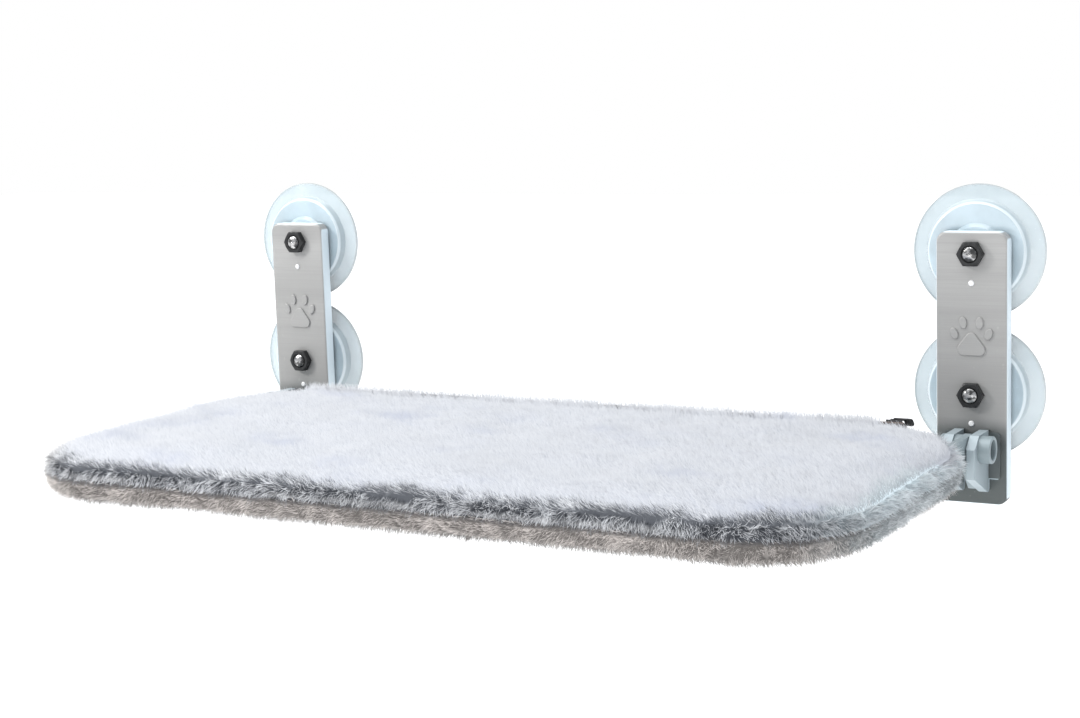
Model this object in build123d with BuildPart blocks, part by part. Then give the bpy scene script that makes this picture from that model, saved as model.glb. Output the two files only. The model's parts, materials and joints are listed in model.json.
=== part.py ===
"""Foldable cat window perch: two wall plates on suction cups carry a plush-covered tube frame on a hinge.

Frame: the glass is the plane Y = 0 and the room is on its -Y side. +X runs along the window, +Z is up, and
the origin is the middle of the four suction cups on the glass. Sizes are millimetres. The perch is shown
folded down, level, with the heels of its hinge arms against the wall plates.
"""

from build123d import *
import math
import os

os.makedirs("parts", exist_ok=True)

# ---------------------------------------------------------------- driving sizes
bracket_spacing = 447.5  # between the middles of the two wall plates
stud_spacing = 77.6  # between the two studs of one plate

plate_width = 40.0
plate_above_stud = 12.0  # from the upper stud to the plate's top edge
plate_below_stud = 60.8  # from the lower stud to the plate's bottom edge
plate_depth = 7.4  # the pressed tray's depth, with its return flange
plate_thickness = 1.8
plate_corner = 6.0
plate_edge = 1.5
standoff = 16.0  # from the glass to the plate's front face
peg_radius = 1.1
peg_drop = 16.0  # below each stud
peg_shank_length = 5.0
peg_head_radius = 1.6
peg_head_height = 0.8
peg_head_edge = 0.7

paw_relief = 1.0
paw_edge = 0.6
paw_height = -6.0  # the height of the paw's middle
paw_pad_circles = ((0.0, -1.4, 3.2), (-4.3, -7.6, 3.5), (4.3, -7.6, 3.5))  # across, up, radius
paw_toe_places = ((4.6, 7.0, 6.0), (9.6, 1.0, 22.0))  # across, up, lean in degrees
paw_toe_half_width = 2.2
paw_toe_half_height = 3.4

cup_radius = 37.1
cup_lip = 1.2
cup_shoulder_radius = 26.7
cup_shoulder_depth = 7.4
cup_hub_radius = 14.0
cup_neck_radius = 9.5
cup_waist_depth = 6.4
cup_cavity_radius = 26.0
cup_cavity_depth = 2.2
cup_shoulder_edge = 1.2
cup_skirt_spread = 2.5  # from the shoulder out to the foot of its wall
cup_skirt_rise = 1.8
cup_waist_flare = 2.0

stud_radius = 4.0  # M8
stud_head_radius = 9.0
stud_head_thickness = 2.5
stud_head_cover = 4.5  # soft material between the glass and the stud's head
stud_beyond_nut = 1.4
stud_end_radius = 3.4
stud_dome = 0.8  # height of the stud's domed end
nut_across_flats = 13.0
nut_countersink = 0.8
nut_height = 4.0
nut_bevel_start = 0.49 * nut_across_flats  # radius at which the outer bevel starts
nut_bevel_end = 0.6 * nut_across_flats
nut_bevel_depth = 0.064 * nut_across_flats

pivot_offset = 16.0  # from the plate's front face to the hinge axis
pivot_z = -65.6
pivot_tube_radius = 7.5
pivot_tube_wall = 2.0
pivot_tube_inner_end = -11.5  # measured outwards from the middle of the plate
pivot_tube_outer_end = 17.0

ear_thickness = 5.0
ear_outer_face = 5.2  # inner face of the outer ear, outwards from the middle of the plate
ear_inner_face = -3.6  # inner face of the inner ear
ear_reach = 28.0
ear_rim = 0.6  # metal above the pivot tube
ear_nose_top = 1.5  # above the hinge axis
ear_nose_bottom = -14.6
ear_toe = -27.9
ear_nose_corner = 3.0
ear_nose_edge = 0.9
foot_width = 6.1
foot_thickness = 1.6
foot_bottom = -19.2  # below the hinge axis
foot_top = 6.5

arm_thickness = 4.0
arm_inner_face = 0.8  # outwards from the middle of the plate
arm_height = 15.0
arm_length = 88.0  # forward of the hinge axis
arm_heel_top = -12.0  # below the hinge axis
arm_heel_bottom = -24.0
arm_heel_width = 8.0
arm_heel_root = -2.0  # the heel's upper edge where it meets the boss

frame_tube_radius = 7.5
frame_tube_wall = 1.5
frame_bend = 34.5
frame_rear = 16.3  # from the cover's rear edge to the rear tube's middle
frame_front = 20.0  # from the cover's front edge to the front tube's middle
joint_sleeve_length = 60.0
joint_sleeve_wall = 1.2
joint_screw_radius = 1.95
joint_screw_length = 7.0
joint_screw_head_radius = 3.5
joint_screw_head_height = 1.8
joint_screw_offset = 18.0  # each side of the joint

bed_width = 492.0
bed_length = 240.0
bed_corner = 61.8
bed_gap = 24.0  # from the plate's front face to the cover's rear edge
bed_top = 14.6  # above the hinge axis
bed_bottom = -13.6
bed_seam = 1.0
cover_thickness = 2.5
cover_top_edge = 9.0
cover_bottom_edge = 7.5

sling_thickness = 1.0
sling_height = 1.4  # the sling's middle above the hinge axis
sling_sleeve_wall = 0.8
sling_sleeve_length = 74.0
sling_margin = 4.0  # from the front and rear tubes

zip_half_length = 196.0
zip_groove_width = 11.0
zip_groove_depth = 1.6
zip_tape_width = 4.3
zip_tape_thickness = 0.7
zip_coil_width = 1.9
zip_coil_height = 1.9
zip_stop_length = 2.0
zip_slider_length = 9.0
zip_slider_width = 6.6
zip_slider_rest = 189.0
zip_slider_roof = 1.3
zip_slider_flange = 1.1
zip_loop_length = 6.4
zip_loop_width = 1.5
zip_loop_height = 2.4
zip_loop_opening = (3.4, 1.5)  # long, high
zip_loop_eye = 1.1  # the opening's middle above the slider's roof
zip_pull_length = 10.0
zip_pull_width = 6.0
zip_pull_thickness = 1.0
zip_pull_arm = 1.2
zip_pull_eye_length = 5.0
zip_pull_corner = 1.6

# ---------------------------------------------------------------- clearances
moulded_gap = 0.05  # stud in its cup
thread_gap = 0.05
stud_hole_gap = 0.4
peg_gap = 0.05  # peg in its hole
pivot_gap = 0.08  # pivot tube in the ears
weld_gap = 0.05  # pivot tube in the arm
stop_gap = 0.3  # heel to plate
sleeve_gap = 0.1  # joint sleeve in the frame tube
cloth_gap = 0.3  # soft pieces against hard ones
slide_gap = 0.35  # zip slider over its coil

# ---------------------------------------------------------------- sizes that follow
bracket_x = bracket_spacing / 2
stud_heights = (stud_spacing / 2, -stud_spacing / 2)
plate_front = -standoff
plate_back = plate_front + plate_thickness
plate_top = stud_heights[0] + plate_above_stud
plate_bottom = stud_heights[1] - plate_below_stud
plate_height = plate_top - plate_bottom
plate_mid_z = (plate_top + plate_bottom) / 2
pivot_y = plate_front - pivot_offset

ear_swing = math.hypot(ear_reach - pivot_offset, ear_nose_top)  # the ear's upper nose from the hinge axis
into_corner = bracket_x + ear_inner_face - ear_thickness - (bed_width / 2 - bed_corner)
into_corner = min(max(into_corner, 0.0), bed_corner)
corner_setback = bed_corner - math.sqrt(bed_corner**2 - into_corner**2)  # of the bed's outline at the ears
bed_rear_y = plate_front - max(bed_gap, pivot_offset + ear_swing + cloth_gap - corner_setback)
bed_mid_y = bed_rear_y - bed_length / 2
bed_front_y = bed_rear_y - bed_length
seam_z = pivot_z + bed_seam
cover_top_z = pivot_z + bed_top
cover_bottom_z = pivot_z + bed_bottom

rail_x = bracket_x + arm_inner_face - frame_tube_radius
frame_rear_y = bed_rear_y - frame_rear
frame_front_y = bed_front_y + frame_front
joint_sleeve_radius = frame_tube_radius - frame_tube_wall - sleeve_gap
arm_front_y = pivot_y - arm_length
arm_slot_high = pivot_z + arm_height / 2 + cloth_gap
arm_slot_low = pivot_z - arm_height / 2 - cloth_gap

zip_inset = cover_top_edge * (1 - math.sqrt(0.5))
zip_plane = Plane(
    origin=(0, bed_rear_y - zip_inset, cover_top_z - zip_inset),
    x_dir=(1, 0, 0),
    z_dir=(0, 1, 1),
)

zip_outwards = Axis(zip_plane.origin, zip_plane.z_dir)

sides = (("left", -1), ("right", 1))
levels = (("upper", stud_heights[0]), ("lower", stud_heights[1]))


def keep(part, name):
    """Labels a finished piece and writes it as its own STEP file."""
    part.label = name
    export_step(part, f"parts/{name}.step")


def slab_start(side, near, far):
    """The plane, square to X, where a slab between two distances out from a bracket's middle starts."""
    low = min(side * (bracket_x + near), side * (bracket_x + far))
    return Plane.YZ.offset(low)


# ---------------------------------------------------------------- wall plates
def paw_outline():
    """A plain paw: one pad and four toes, drawn around the current location."""
    with BuildSketch(mode=Mode.PRIVATE) as pad:
        for across, up, radius in paw_pad_circles:
            with Locations((across, up)):
                Circle(radius)
        make_hull()
    add(pad.sketch)
    for across, up, lean in paw_toe_places:
        for _, sign in sides:
            with Locations((sign * across, up)):
                Ellipse(paw_toe_half_width, paw_toe_half_height, rotation=-sign * lean)


for side_name, side in sides:
    plate_x = side * bracket_x
    with BuildPart() as wall_plate:
        with BuildSketch(Plane.XZ.offset(standoff - plate_depth)):
            with Locations((plate_x, plate_mid_z)):
                RectangleRounded(plate_width, plate_height, plate_corner)
        extrude(amount=plate_depth)
        fillet(wall_plate.faces().sort_by(Axis.Y)[0].edges(), plate_edge)
        with BuildSketch(Plane.XZ.offset(standoff - plate_depth)):
            with Locations((plate_x, plate_mid_z)):
                RectangleRounded(
                    plate_width - 2 * plate_thickness,
                    plate_height - 2 * plate_thickness,
                    plate_corner - plate_thickness,
                )
        extrude(amount=plate_depth - plate_thickness, mode=Mode.SUBTRACT)
        with BuildSketch(Plane.XZ.offset(standoff)):
            with Locations((plate_x, paw_height)):
                paw_outline()
        extrude(amount=paw_relief)
        fillet(wall_plate.faces().group_by(Axis.Y)[0].edges(), paw_edge)
        with BuildSketch(Plane.XZ.offset(standoff - plate_depth)):
            for stud_z in stud_heights:
                with Locations((plate_x, stud_z)):
                    Circle(stud_radius + stud_hole_gap)
                with Locations((plate_x, stud_z - peg_drop)):
                    Circle(peg_radius + peg_gap)
        extrude(amount=plate_depth, mode=Mode.SUBTRACT)
    keep(wall_plate.part, f"wall_plate_{side_name}")

# ---------------------------------------------------------------- hinge ears, welded to the plates
for side_name, side in sides:
    for ear_name, inner_face, outwards in (("outer", ear_outer_face, 1), ("inner", ear_inner_face, -1)):
        outer_face = inner_face + outwards * ear_thickness
        foot_edge = outer_face + outwards * foot_width
        ear_top = pivot_tube_radius + ear_rim
        with BuildPart() as hinge_ear:
            with BuildSketch(slab_start(side, inner_face, outer_face)) as ear_profile:
                with BuildLine():
                    Polyline(
                        (plate_front, pivot_z + ear_top),
                        (pivot_y - ear_top / 2, pivot_z + ear_top),
                        (plate_front - ear_reach, pivot_z + ear_nose_top),
                        (plate_front - ear_reach, pivot_z + ear_nose_bottom),
                        (plate_front, pivot_z + ear_toe),
                        close=True,
                    )
                make_face()
                fillet(ear_profile.vertices().group_by(Axis.Y)[0], ear_nose_corner)
                with Locations((pivot_y, pivot_z)):
                    Circle(pivot_tube_radius + pivot_gap, mode=Mode.SUBTRACT)
            extrude(amount=ear_thickness)
            fillet(hinge_ear.edges().filter_by(Axis.Z).group_by(Axis.Y)[0], ear_nose_edge)
            with BuildSketch(Plane.XZ.offset(standoff)) as foot_profile:
                with Locations((side * (bracket_x + (outer_face + foot_edge) / 2), 0)):
                    with Locations((0, pivot_z + (foot_top + foot_bottom) / 2)):
                        Rectangle(foot_width, foot_top - foot_bottom)
                free_corners = foot_profile.vertices().group_by(Axis.X)[-1 if side * outwards > 0 else 0]
                fillet(free_corners, foot_thickness)
            extrude(amount=foot_thickness)
        keep(hinge_ear.part, f"hinge_ear_{ear_name}_{side_name}")

# ---------------------------------------------------------------- suction cups, studs and nuts
for side_name, side in sides:
    for level_name, stud_z in levels:
        cup_plane = Plane((side * bracket_x, 0, stud_z))
        cup_axis = Axis((side * bracket_x, 0, stud_z), (0, 1, 0))
        hub_front = plate_front + plate_depth + moulded_gap
        head_front = -stud_head_cover - stud_head_thickness - moulded_gap
        head_back = -stud_head_cover + moulded_gap
        with BuildPart() as suction_cup:
            with BuildSketch(cup_plane) as cup_profile:
                with BuildLine():
                    ThreePointArc(
                        (0, -cup_cavity_depth),
                        (cup_cavity_radius / 2, -cup_cavity_depth * 0.75),
                        (cup_cavity_radius, 0),
                    )
                    Polyline(
                        (cup_cavity_radius, 0),
                        (cup_radius, 0),
                        (cup_radius, -cup_lip),
                        (cup_shoulder_radius + cup_skirt_spread, -cup_lip - cup_skirt_rise),
                        (cup_shoulder_radius, -cup_shoulder_depth),
                        (cup_hub_radius + cup_waist_flare, -cup_waist_depth),
                        (cup_hub_radius, hub_front),
                        (cup_neck_radius, hub_front),
                        (cup_neck_radius, plate_back),
                        (stud_radius + moulded_gap, plate_back),
                        (stud_radius + moulded_gap, head_front),
                        (stud_head_radius + moulded_gap, head_front),
                        (stud_head_radius + moulded_gap, head_back),
                        (0, head_back),
                        (0, -cup_cavity_depth),
                    )
                make_face()
            revolve(axis=cup_axis)
            shoulder = suction_cup.edges().filter_by(GeomType.CIRCLE).sort_by(
                lambda edge: abs(edge.radius - cup_shoulder_radius)
            )[0]
            fillet(shoulder, cup_shoulder_edge)
        keep(suction_cup.part, f"suction_cup_{level_name}_{side_name}")

    with BuildPart() as cup_studs:
        for stud_z in stud_heights:
            tip = plate_front - nut_height - stud_beyond_nut
            with BuildSketch(Plane((side * bracket_x, 0, stud_z))):
                with BuildLine():
                    Polyline(
                        (0, -stud_head_cover),
                        (stud_head_radius, -stud_head_cover),
                        (stud_head_radius, -stud_head_cover - stud_head_thickness),
                        (stud_radius, -stud_head_cover - stud_head_thickness),
                        (stud_radius, tip + stud_dome + stud_radius - stud_end_radius),
                        (stud_end_radius, tip + stud_dome),
                    )
                    TangentArc((0, tip), (stud_end_radius, tip + stud_dome), tangent=(1, 0))
                    Line((0, tip), (0, -stud_head_cover))
                make_face()
            revolve(axis=Axis((side * bracket_x, 0, stud_z), (0, 1, 0)))
    keep(cup_studs.part, f"cup_studs_{side_name}")

    with BuildPart() as hex_nuts:
        nut_front = plate_front - nut_height
        for stud_z in stud_heights:
            with BuildSketch(Plane.XZ.offset(standoff)):
                with Locations((side * bracket_x, stud_z)):
                    RegularPolygon(nut_across_flats / 2, 6, major_radius=False)
                    Circle(stud_radius + thread_gap, mode=Mode.SUBTRACT)
            extrude(amount=nut_height)
            with BuildSketch(Plane((side * bracket_x, 0, stud_z))):
                with BuildLine():
                    Polyline(
                        (nut_bevel_start, nut_front),
                        (nut_bevel_end, nut_front),
                        (nut_bevel_end, nut_front + nut_bevel_depth),
                        close=True,
                    )
                make_face()
            revolve(axis=Axis((side * bracket_x, 0, stud_z), (0, 1, 0)), mode=Mode.SUBTRACT)
            with BuildSketch(Plane((side * bracket_x, 0, stud_z))):
                with BuildLine():
                    Polyline(
                        (0, nut_front),
                        (stud_radius + nut_countersink, nut_front),
                        (0, nut_front + stud_radius + nut_countersink),
                        close=True,
                    )
                make_face()
            revolve(axis=Axis((side * bracket_x, 0, stud_z), (0, 1, 0)), mode=Mode.SUBTRACT)
    keep(hex_nuts.part, f"hex_nuts_{side_name}")

    with BuildPart() as plate_pegs:
        for stud_z in stud_heights:
            with BuildSketch(Plane.XZ.offset(standoff - peg_shank_length)):
                with Locations((side * bracket_x, stud_z - peg_drop)):
                    Circle(peg_radius)
            extrude(amount=peg_shank_length)
            with BuildSketch(Plane.XZ.offset(standoff)):
                with Locations((side * bracket_x, stud_z - peg_drop)):
                    Circle(peg_head_radius)
            extrude(amount=peg_head_height)
        fillet(plate_pegs.faces().group_by(Axis.Y)[0].edges(), peg_head_edge)
    keep(plate_pegs.part, f"plate_pegs_{side_name}")

# ---------------------------------------------------------------- hinge arms and pivot tubes
for side_name, side in sides:
    with BuildPart() as hinge_arm:
        with BuildSketch(slab_start(side, arm_inner_face, arm_inner_face + arm_thickness)) as arm_profile:
            with Locations((pivot_y, pivot_z)):
                Circle(pivot_tube_radius + ear_rim)
            with Locations(((pivot_y + arm_front_y) / 2, pivot_z)):
                Rectangle(arm_length, arm_height)
            with BuildLine():
                Polyline(
                    (pivot_y - pivot_tube_radius, pivot_z - arm_height / 2),
                    (plate_front - stop_gap - arm_heel_width, pivot_z + arm_heel_bottom),
                    (plate_front - stop_gap, pivot_z + arm_heel_bottom),
                    (plate_front - stop_gap, pivot_z + arm_heel_top),
                    (pivot_y + pivot_tube_radius, pivot_z + arm_heel_root),
                    (pivot_y, pivot_z),
                    close=True,
                )
            make_face()
            fillet(arm_profile.vertices().group_by(Axis.Y)[0], arm_thickness)
            with Locations((pivot_y, pivot_z)):
                Circle(pivot_tube_radius + weld_gap, mode=Mode.SUBTRACT)
        extrude(amount=arm_thickness)
    keep(hinge_arm.part, f"hinge_arm_{side_name}")

    with BuildPart() as pivot_tube:
        with BuildSketch(slab_start(side, pivot_tube_inner_end, pivot_tube_outer_end)):
            with Locations((pivot_y, pivot_z)):
                Circle(pivot_tube_radius)
                Circle(pivot_tube_radius - pivot_tube_wall, mode=Mode.SUBTRACT)
        extrude(amount=pivot_tube_outer_end - pivot_tube_inner_end)
        chamfer(pivot_tube.edges().filter_by(GeomType.CIRCLE), pivot_tube_wall / 5)
    keep(pivot_tube.part, f"pivot_tube_{side_name}")


# ---------------------------------------------------------------- frame: two U halves, joined front and rear
def half_loop(side, radius, bore=0.0):
    """One half of the frame's loop as a swept round section."""
    with BuildPart() as swept:
        with BuildLine(Plane.XY.offset(pivot_z)) as loop:
            FilletPolyline(
                (0, frame_rear_y),
                (side * rail_x, frame_rear_y),
                (side * rail_x, frame_front_y),
                (0, frame_front_y),
                radius=frame_bend,
            )
        with BuildSketch(Plane(loop.line @ 0, z_dir=loop.line % 0)):
            Circle(radius)
            if bore:
                Circle(bore, mode=Mode.SUBTRACT)
        sweep(path=loop.line)
    return swept.part


def joint_bars(side_signs, radius, inwards_from, inwards_to):
    """Round bars at the joint screws' places, between two depths from the loop's inner side."""
    with BuildPart() as bars:
        for sign in side_signs:
            for tube_y, inwards in ((frame_rear_y, -1), (frame_front_y, 1)):
                wall_y = tube_y + inwards * frame_tube_radius
                with BuildSketch(Plane.XZ.offset(-(wall_y - inwards * inwards_to))):
                    with Locations((sign * joint_screw_offset, pivot_z)):
                        Circle(radius)
                extrude(amount=-inwards * (inwards_to - inwards_from))
    return bars.part


for side_name, side in sides:
    with BuildPart() as frame_half:
        add(half_loop(side, frame_tube_radius, frame_tube_radius - frame_tube_wall))
        add(joint_bars((side,), joint_screw_radius + sleeve_gap, -1, joint_screw_length), mode=Mode.SUBTRACT)
    keep(frame_half.part, f"frame_half_{side_name}")

with BuildPart() as joint_sleeves:
    with BuildSketch(Plane.YZ.offset(-joint_sleeve_length / 2)):
        for tube_y in (frame_rear_y, frame_front_y):
            with Locations((tube_y, pivot_z)):
                Circle(joint_sleeve_radius)
                Circle(joint_sleeve_radius - joint_sleeve_wall, mode=Mode.SUBTRACT)
    extrude(amount=joint_sleeve_length)
    add(joint_bars((-1, 1), joint_screw_radius + thread_gap, -1, joint_screw_length), mode=Mode.SUBTRACT)
keep(joint_sleeves.part, "joint_sleeves")

with BuildPart() as joint_screws:
    add(joint_bars((-1, 1), joint_screw_radius, 0, joint_screw_length))
    add(joint_bars((-1, 1), joint_screw_head_radius, -joint_screw_head_height, 0))
keep(joint_screws.part, "joint_screws")


# ---------------------------------------------------------------- soft pieces
def bed_slab(inset, low, high, low_edge=0.0, high_edge=0.0):
    """A slab with the bed's rounded outline, moved in by inset, with its lower or upper edge rounded."""
    with BuildPart() as slab:
        with BuildSketch(Plane.XY.offset(low)):
            with Locations((0, bed_mid_y)):
                RectangleRounded(bed_width - 2 * inset, bed_length - 2 * inset, bed_corner - inset)
        extrude(amount=high - low)
        if high_edge:
            fillet(slab.faces().sort_by(Axis.Z)[-1].edges(), high_edge)
        if low_edge:
            fillet(slab.faces().sort_by(Axis.Z)[0].edges(), low_edge)
    return slab.part


def arm_slots(low, high):
    """The two slots that the hinge arms leave the cover through, between two heights."""
    with BuildPart() as slots:
        for _, sign in sides:
            mid_x = sign * (bracket_x + arm_inner_face + arm_thickness / 2)
            with BuildSketch(Plane.XY.offset(low)):
                with Locations((mid_x, (bed_rear_y + arm_front_y) / 2)):
                    Rectangle(arm_thickness + 2 * cloth_gap, bed_rear_y - arm_front_y + 2 * cloth_gap)
            extrude(amount=high - low)
    return slots.part


upper_outside = bed_slab(0, seam_z, cover_top_z, high_edge=cover_top_edge)
upper_inside = bed_slab(
    cover_thickness, seam_z, cover_top_z - cover_thickness, high_edge=cover_top_edge - cover_thickness
)
lower_outside = bed_slab(0, cover_bottom_z, seam_z, low_edge=cover_bottom_edge)
lower_inside = bed_slab(
    cover_thickness, cover_bottom_z + cover_thickness, seam_z, low_edge=cover_bottom_edge - cover_thickness
)
pad_inset = cover_thickness + cloth_gap
pad_top = cover_top_z - pad_inset
pad_bottom = pivot_z + sling_height + sling_thickness / 2  # the pad lies on the sling
pad_block = bed_slab(pad_inset, pad_bottom, pad_top, high_edge=cover_top_edge - pad_inset)

with BuildPart() as plush_cover_upper:
    add(upper_outside)
    add(upper_inside, mode=Mode.SUBTRACT)
    add(arm_slots(seam_z, arm_slot_high), mode=Mode.SUBTRACT)
    with BuildSketch(Plane.YZ.offset(-zip_half_length)):
        with Locations((zip_plane.origin.Y, zip_plane.origin.Z)):
            Rectangle(zip_groove_width, 2 * zip_groove_depth, rotation=-45)
    extrude(amount=2 * zip_half_length, mode=Mode.SUBTRACT)
keep(plush_cover_upper.part, "plush_cover_upper")

with BuildPart() as plush_cover_lower:
    add(lower_outside)
    add(lower_inside, mode=Mode.SUBTRACT)
    add(arm_slots(arm_slot_low, seam_z), mode=Mode.SUBTRACT)
keep(plush_cover_lower.part, "plush_cover_lower")

sling_rear = frame_rear_y - frame_tube_radius - sling_margin
sling_front = frame_front_y + frame_tube_radius + sling_margin
sling_mid_y = (sling_rear + sling_front) / 2


def rail_bars(radius):
    """Two round bars along the side rails, as long as the sling's sleeves."""
    with BuildPart() as bars:
        with BuildSketch(Plane.XZ.offset(-sling_mid_y - sling_sleeve_length / 2)):
            for _, sign in sides:
                with Locations((sign * rail_x, pivot_z)):
                    Circle(radius)
        extrude(amount=sling_sleeve_length)
    return bars.part


with BuildPart() as foam_pad:
    add(pad_block)
    for _, side in sides:
        add(half_loop(side, frame_tube_radius + cloth_gap), mode=Mode.SUBTRACT)
    add(rail_bars(frame_tube_radius + sling_sleeve_wall + 2 * cloth_gap), mode=Mode.SUBTRACT)
    add(arm_slots(pad_bottom, arm_slot_high), mode=Mode.SUBTRACT)
    head_pocket = joint_screw_head_height + cloth_gap
    add(joint_bars((-1, 1), joint_screw_head_radius + cloth_gap, -head_pocket, 0), mode=Mode.SUBTRACT)
keep(foam_pad.part, "foam_pad")

with BuildPart() as support_sling:
    with BuildSketch(Plane.XY.offset(pivot_z + sling_height - sling_thickness / 2)):
        with Locations((0, sling_mid_y)):
            Rectangle(2 * rail_x, sling_sleeve_length)
            Rectangle(2 * (rail_x - frame_bend), sling_rear - sling_front)
    extrude(amount=sling_thickness)
    add(rail_bars(frame_tube_radius + cloth_gap + sling_sleeve_wall))
    add(rail_bars(frame_tube_radius + cloth_gap), mode=Mode.SUBTRACT)
keep(support_sling.part, "support_sling")

# ---------------------------------------------------------------- zip along the cover's rear top edge
zip_floor = -zip_groove_depth
tape_top = zip_floor + zip_tape_thickness
coil_top = zip_floor + zip_coil_height
slider_floor = coil_top + slide_gap
slider_roof = slider_floor + zip_slider_roof
pull_axis_height = slider_roof + zip_loop_eye

with BuildPart(zip_plane) as zip_tapes:
    for across in (-1, 1):
        tape_middle = across * (zip_coil_width / 2 + cloth_gap / 2 + zip_tape_width / 2)
        with Locations((0, tape_middle, zip_floor + zip_tape_thickness / 2)):
            Box(2 * zip_half_length - 2 * cloth_gap, zip_tape_width, zip_tape_thickness)
keep(zip_tapes.part, "zip_tapes")

with BuildPart(zip_plane) as zip_coil:
    coil_length = 2 * (zip_half_length - zip_stop_length) - 4 * cloth_gap
    with Locations((0, 0, zip_floor + zip_coil_height / 2)):
        Box(coil_length, zip_coil_width, zip_coil_height)
    fillet(zip_coil.edges().filter_by(Axis.X).sort_by(zip_outwards)[-2:], zip_coil_width / 4)
keep(zip_coil.part, "zip_coil")

with BuildPart(zip_plane) as zip_stops:
    for end in (-1, 1):
        stop_x = end * (zip_half_length - zip_stop_length / 2 - cloth_gap)
        with Locations((stop_x, 0, zip_floor + zip_coil_height / 2)):
            Box(zip_stop_length, zip_coil_width, zip_coil_height)
keep(zip_stops.part, "zip_stops")

with BuildPart(zip_plane) as zip_slider:
    with Locations((zip_slider_rest, 0, (slider_floor + slider_roof) / 2)):
        Box(zip_slider_length, zip_slider_width, slider_roof - slider_floor)
    flange_floor = tape_top + slide_gap
    flange_across = (zip_slider_width - zip_slider_flange) / 2
    for across in (-flange_across, flange_across):
        with Locations((zip_slider_rest, across, (flange_floor + slider_roof) / 2)):
            Box(zip_slider_length, zip_slider_flange, slider_roof - flange_floor)
    with Locations((zip_slider_rest, 0, slider_roof + zip_loop_height / 2)):
        Box(zip_loop_length, zip_loop_width, zip_loop_height)
    with Locations((zip_slider_rest, 0, pull_axis_height)):
        Box(zip_loop_opening[0], zip_loop_width, zip_loop_opening[1], mode=Mode.SUBTRACT)
keep(zip_slider.part, "zip_slider")

with BuildPart(zip_plane) as zip_pull:
    with Locations((zip_slider_rest, 0, pull_axis_height)):
        Box(zip_pull_thickness, zip_pull_width, zip_pull_thickness)
    arm_across = (zip_pull_width - zip_pull_arm) / 2
    eye_length = zip_pull_eye_length + zip_pull_thickness
    for across in (-arm_across, arm_across):
        with Locations((zip_slider_rest + zip_pull_eye_length / 2, across, pull_axis_height)):
            Box(eye_length, zip_pull_arm, zip_pull_thickness)
    tab_length = zip_pull_length - zip_pull_eye_length
    with Locations((zip_slider_rest + zip_pull_eye_length + tab_length / 2, 0, pull_axis_height)):
        Box(tab_length, zip_pull_width, zip_pull_thickness)
    fillet(zip_pull.edges().filter_by(zip_outwards).group_by(Axis.X)[-1], zip_pull_corner)
keep(zip_pull.part, "zip_pull")
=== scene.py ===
import json
import logging
import math
from collections.abc import Callable, Iterable
from dataclasses import dataclass, field
from enum import Enum

import bmesh
import bpy
import numpy as np
from bmesh.types import BMEdge, BMesh, BMVert
from bpy.types import Collection, Material, Mesh, Node, NodeSocket, NodeTree, Object
from mathutils import Matrix, Vector, noise

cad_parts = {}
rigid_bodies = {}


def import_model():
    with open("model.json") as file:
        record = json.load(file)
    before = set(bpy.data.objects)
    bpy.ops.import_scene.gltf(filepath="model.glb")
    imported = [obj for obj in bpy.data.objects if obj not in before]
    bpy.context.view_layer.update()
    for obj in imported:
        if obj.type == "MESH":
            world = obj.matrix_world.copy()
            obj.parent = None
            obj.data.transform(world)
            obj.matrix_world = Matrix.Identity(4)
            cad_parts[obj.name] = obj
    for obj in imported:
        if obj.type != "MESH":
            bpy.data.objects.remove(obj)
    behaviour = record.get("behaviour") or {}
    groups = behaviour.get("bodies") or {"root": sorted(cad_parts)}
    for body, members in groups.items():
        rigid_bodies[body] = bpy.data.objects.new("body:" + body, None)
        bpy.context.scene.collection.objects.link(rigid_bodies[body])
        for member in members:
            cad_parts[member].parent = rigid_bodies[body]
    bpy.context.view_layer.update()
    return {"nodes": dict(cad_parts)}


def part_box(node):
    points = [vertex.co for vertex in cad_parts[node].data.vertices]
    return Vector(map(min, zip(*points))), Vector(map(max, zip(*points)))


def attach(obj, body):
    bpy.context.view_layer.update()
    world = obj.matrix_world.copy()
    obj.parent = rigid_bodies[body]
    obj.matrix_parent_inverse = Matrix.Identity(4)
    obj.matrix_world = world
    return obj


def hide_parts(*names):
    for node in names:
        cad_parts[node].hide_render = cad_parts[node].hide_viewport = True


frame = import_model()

log = logging.getLogger("window_perch")

Number = float | int
Triple = tuple[float, float, float]
Span = tuple[float, float, float, float]
Choice = Callable[[np.ndarray, np.ndarray], np.ndarray]

MM = 0.001
SAME_PLACE = 1e-5
FAR = 1.0
WHITE_SLOT, LOWER_SLOT = "plush_white", "plush_lower"


# ---------------------------------------------------------------- shader and geometry graphs
def operator(operation: str, flipped: bool = False) -> Callable[["Value", "Value | Number"], "Value"]:
    """A method of Value that adds one Math node; flipped serves Python's reflected operators.

    Args:
        operation: The Math node's operation.
        flipped: Whether the method is a reflected operator.

    Returns:
        The method.
    """

    def grow(value: "Value", other: "Value | Number") -> "Value":
        """Adds the node, with its operands in the order in which they were written."""
        return value.math(operation, other, value) if flipped else value.math(operation, value, other)

    return grow


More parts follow.
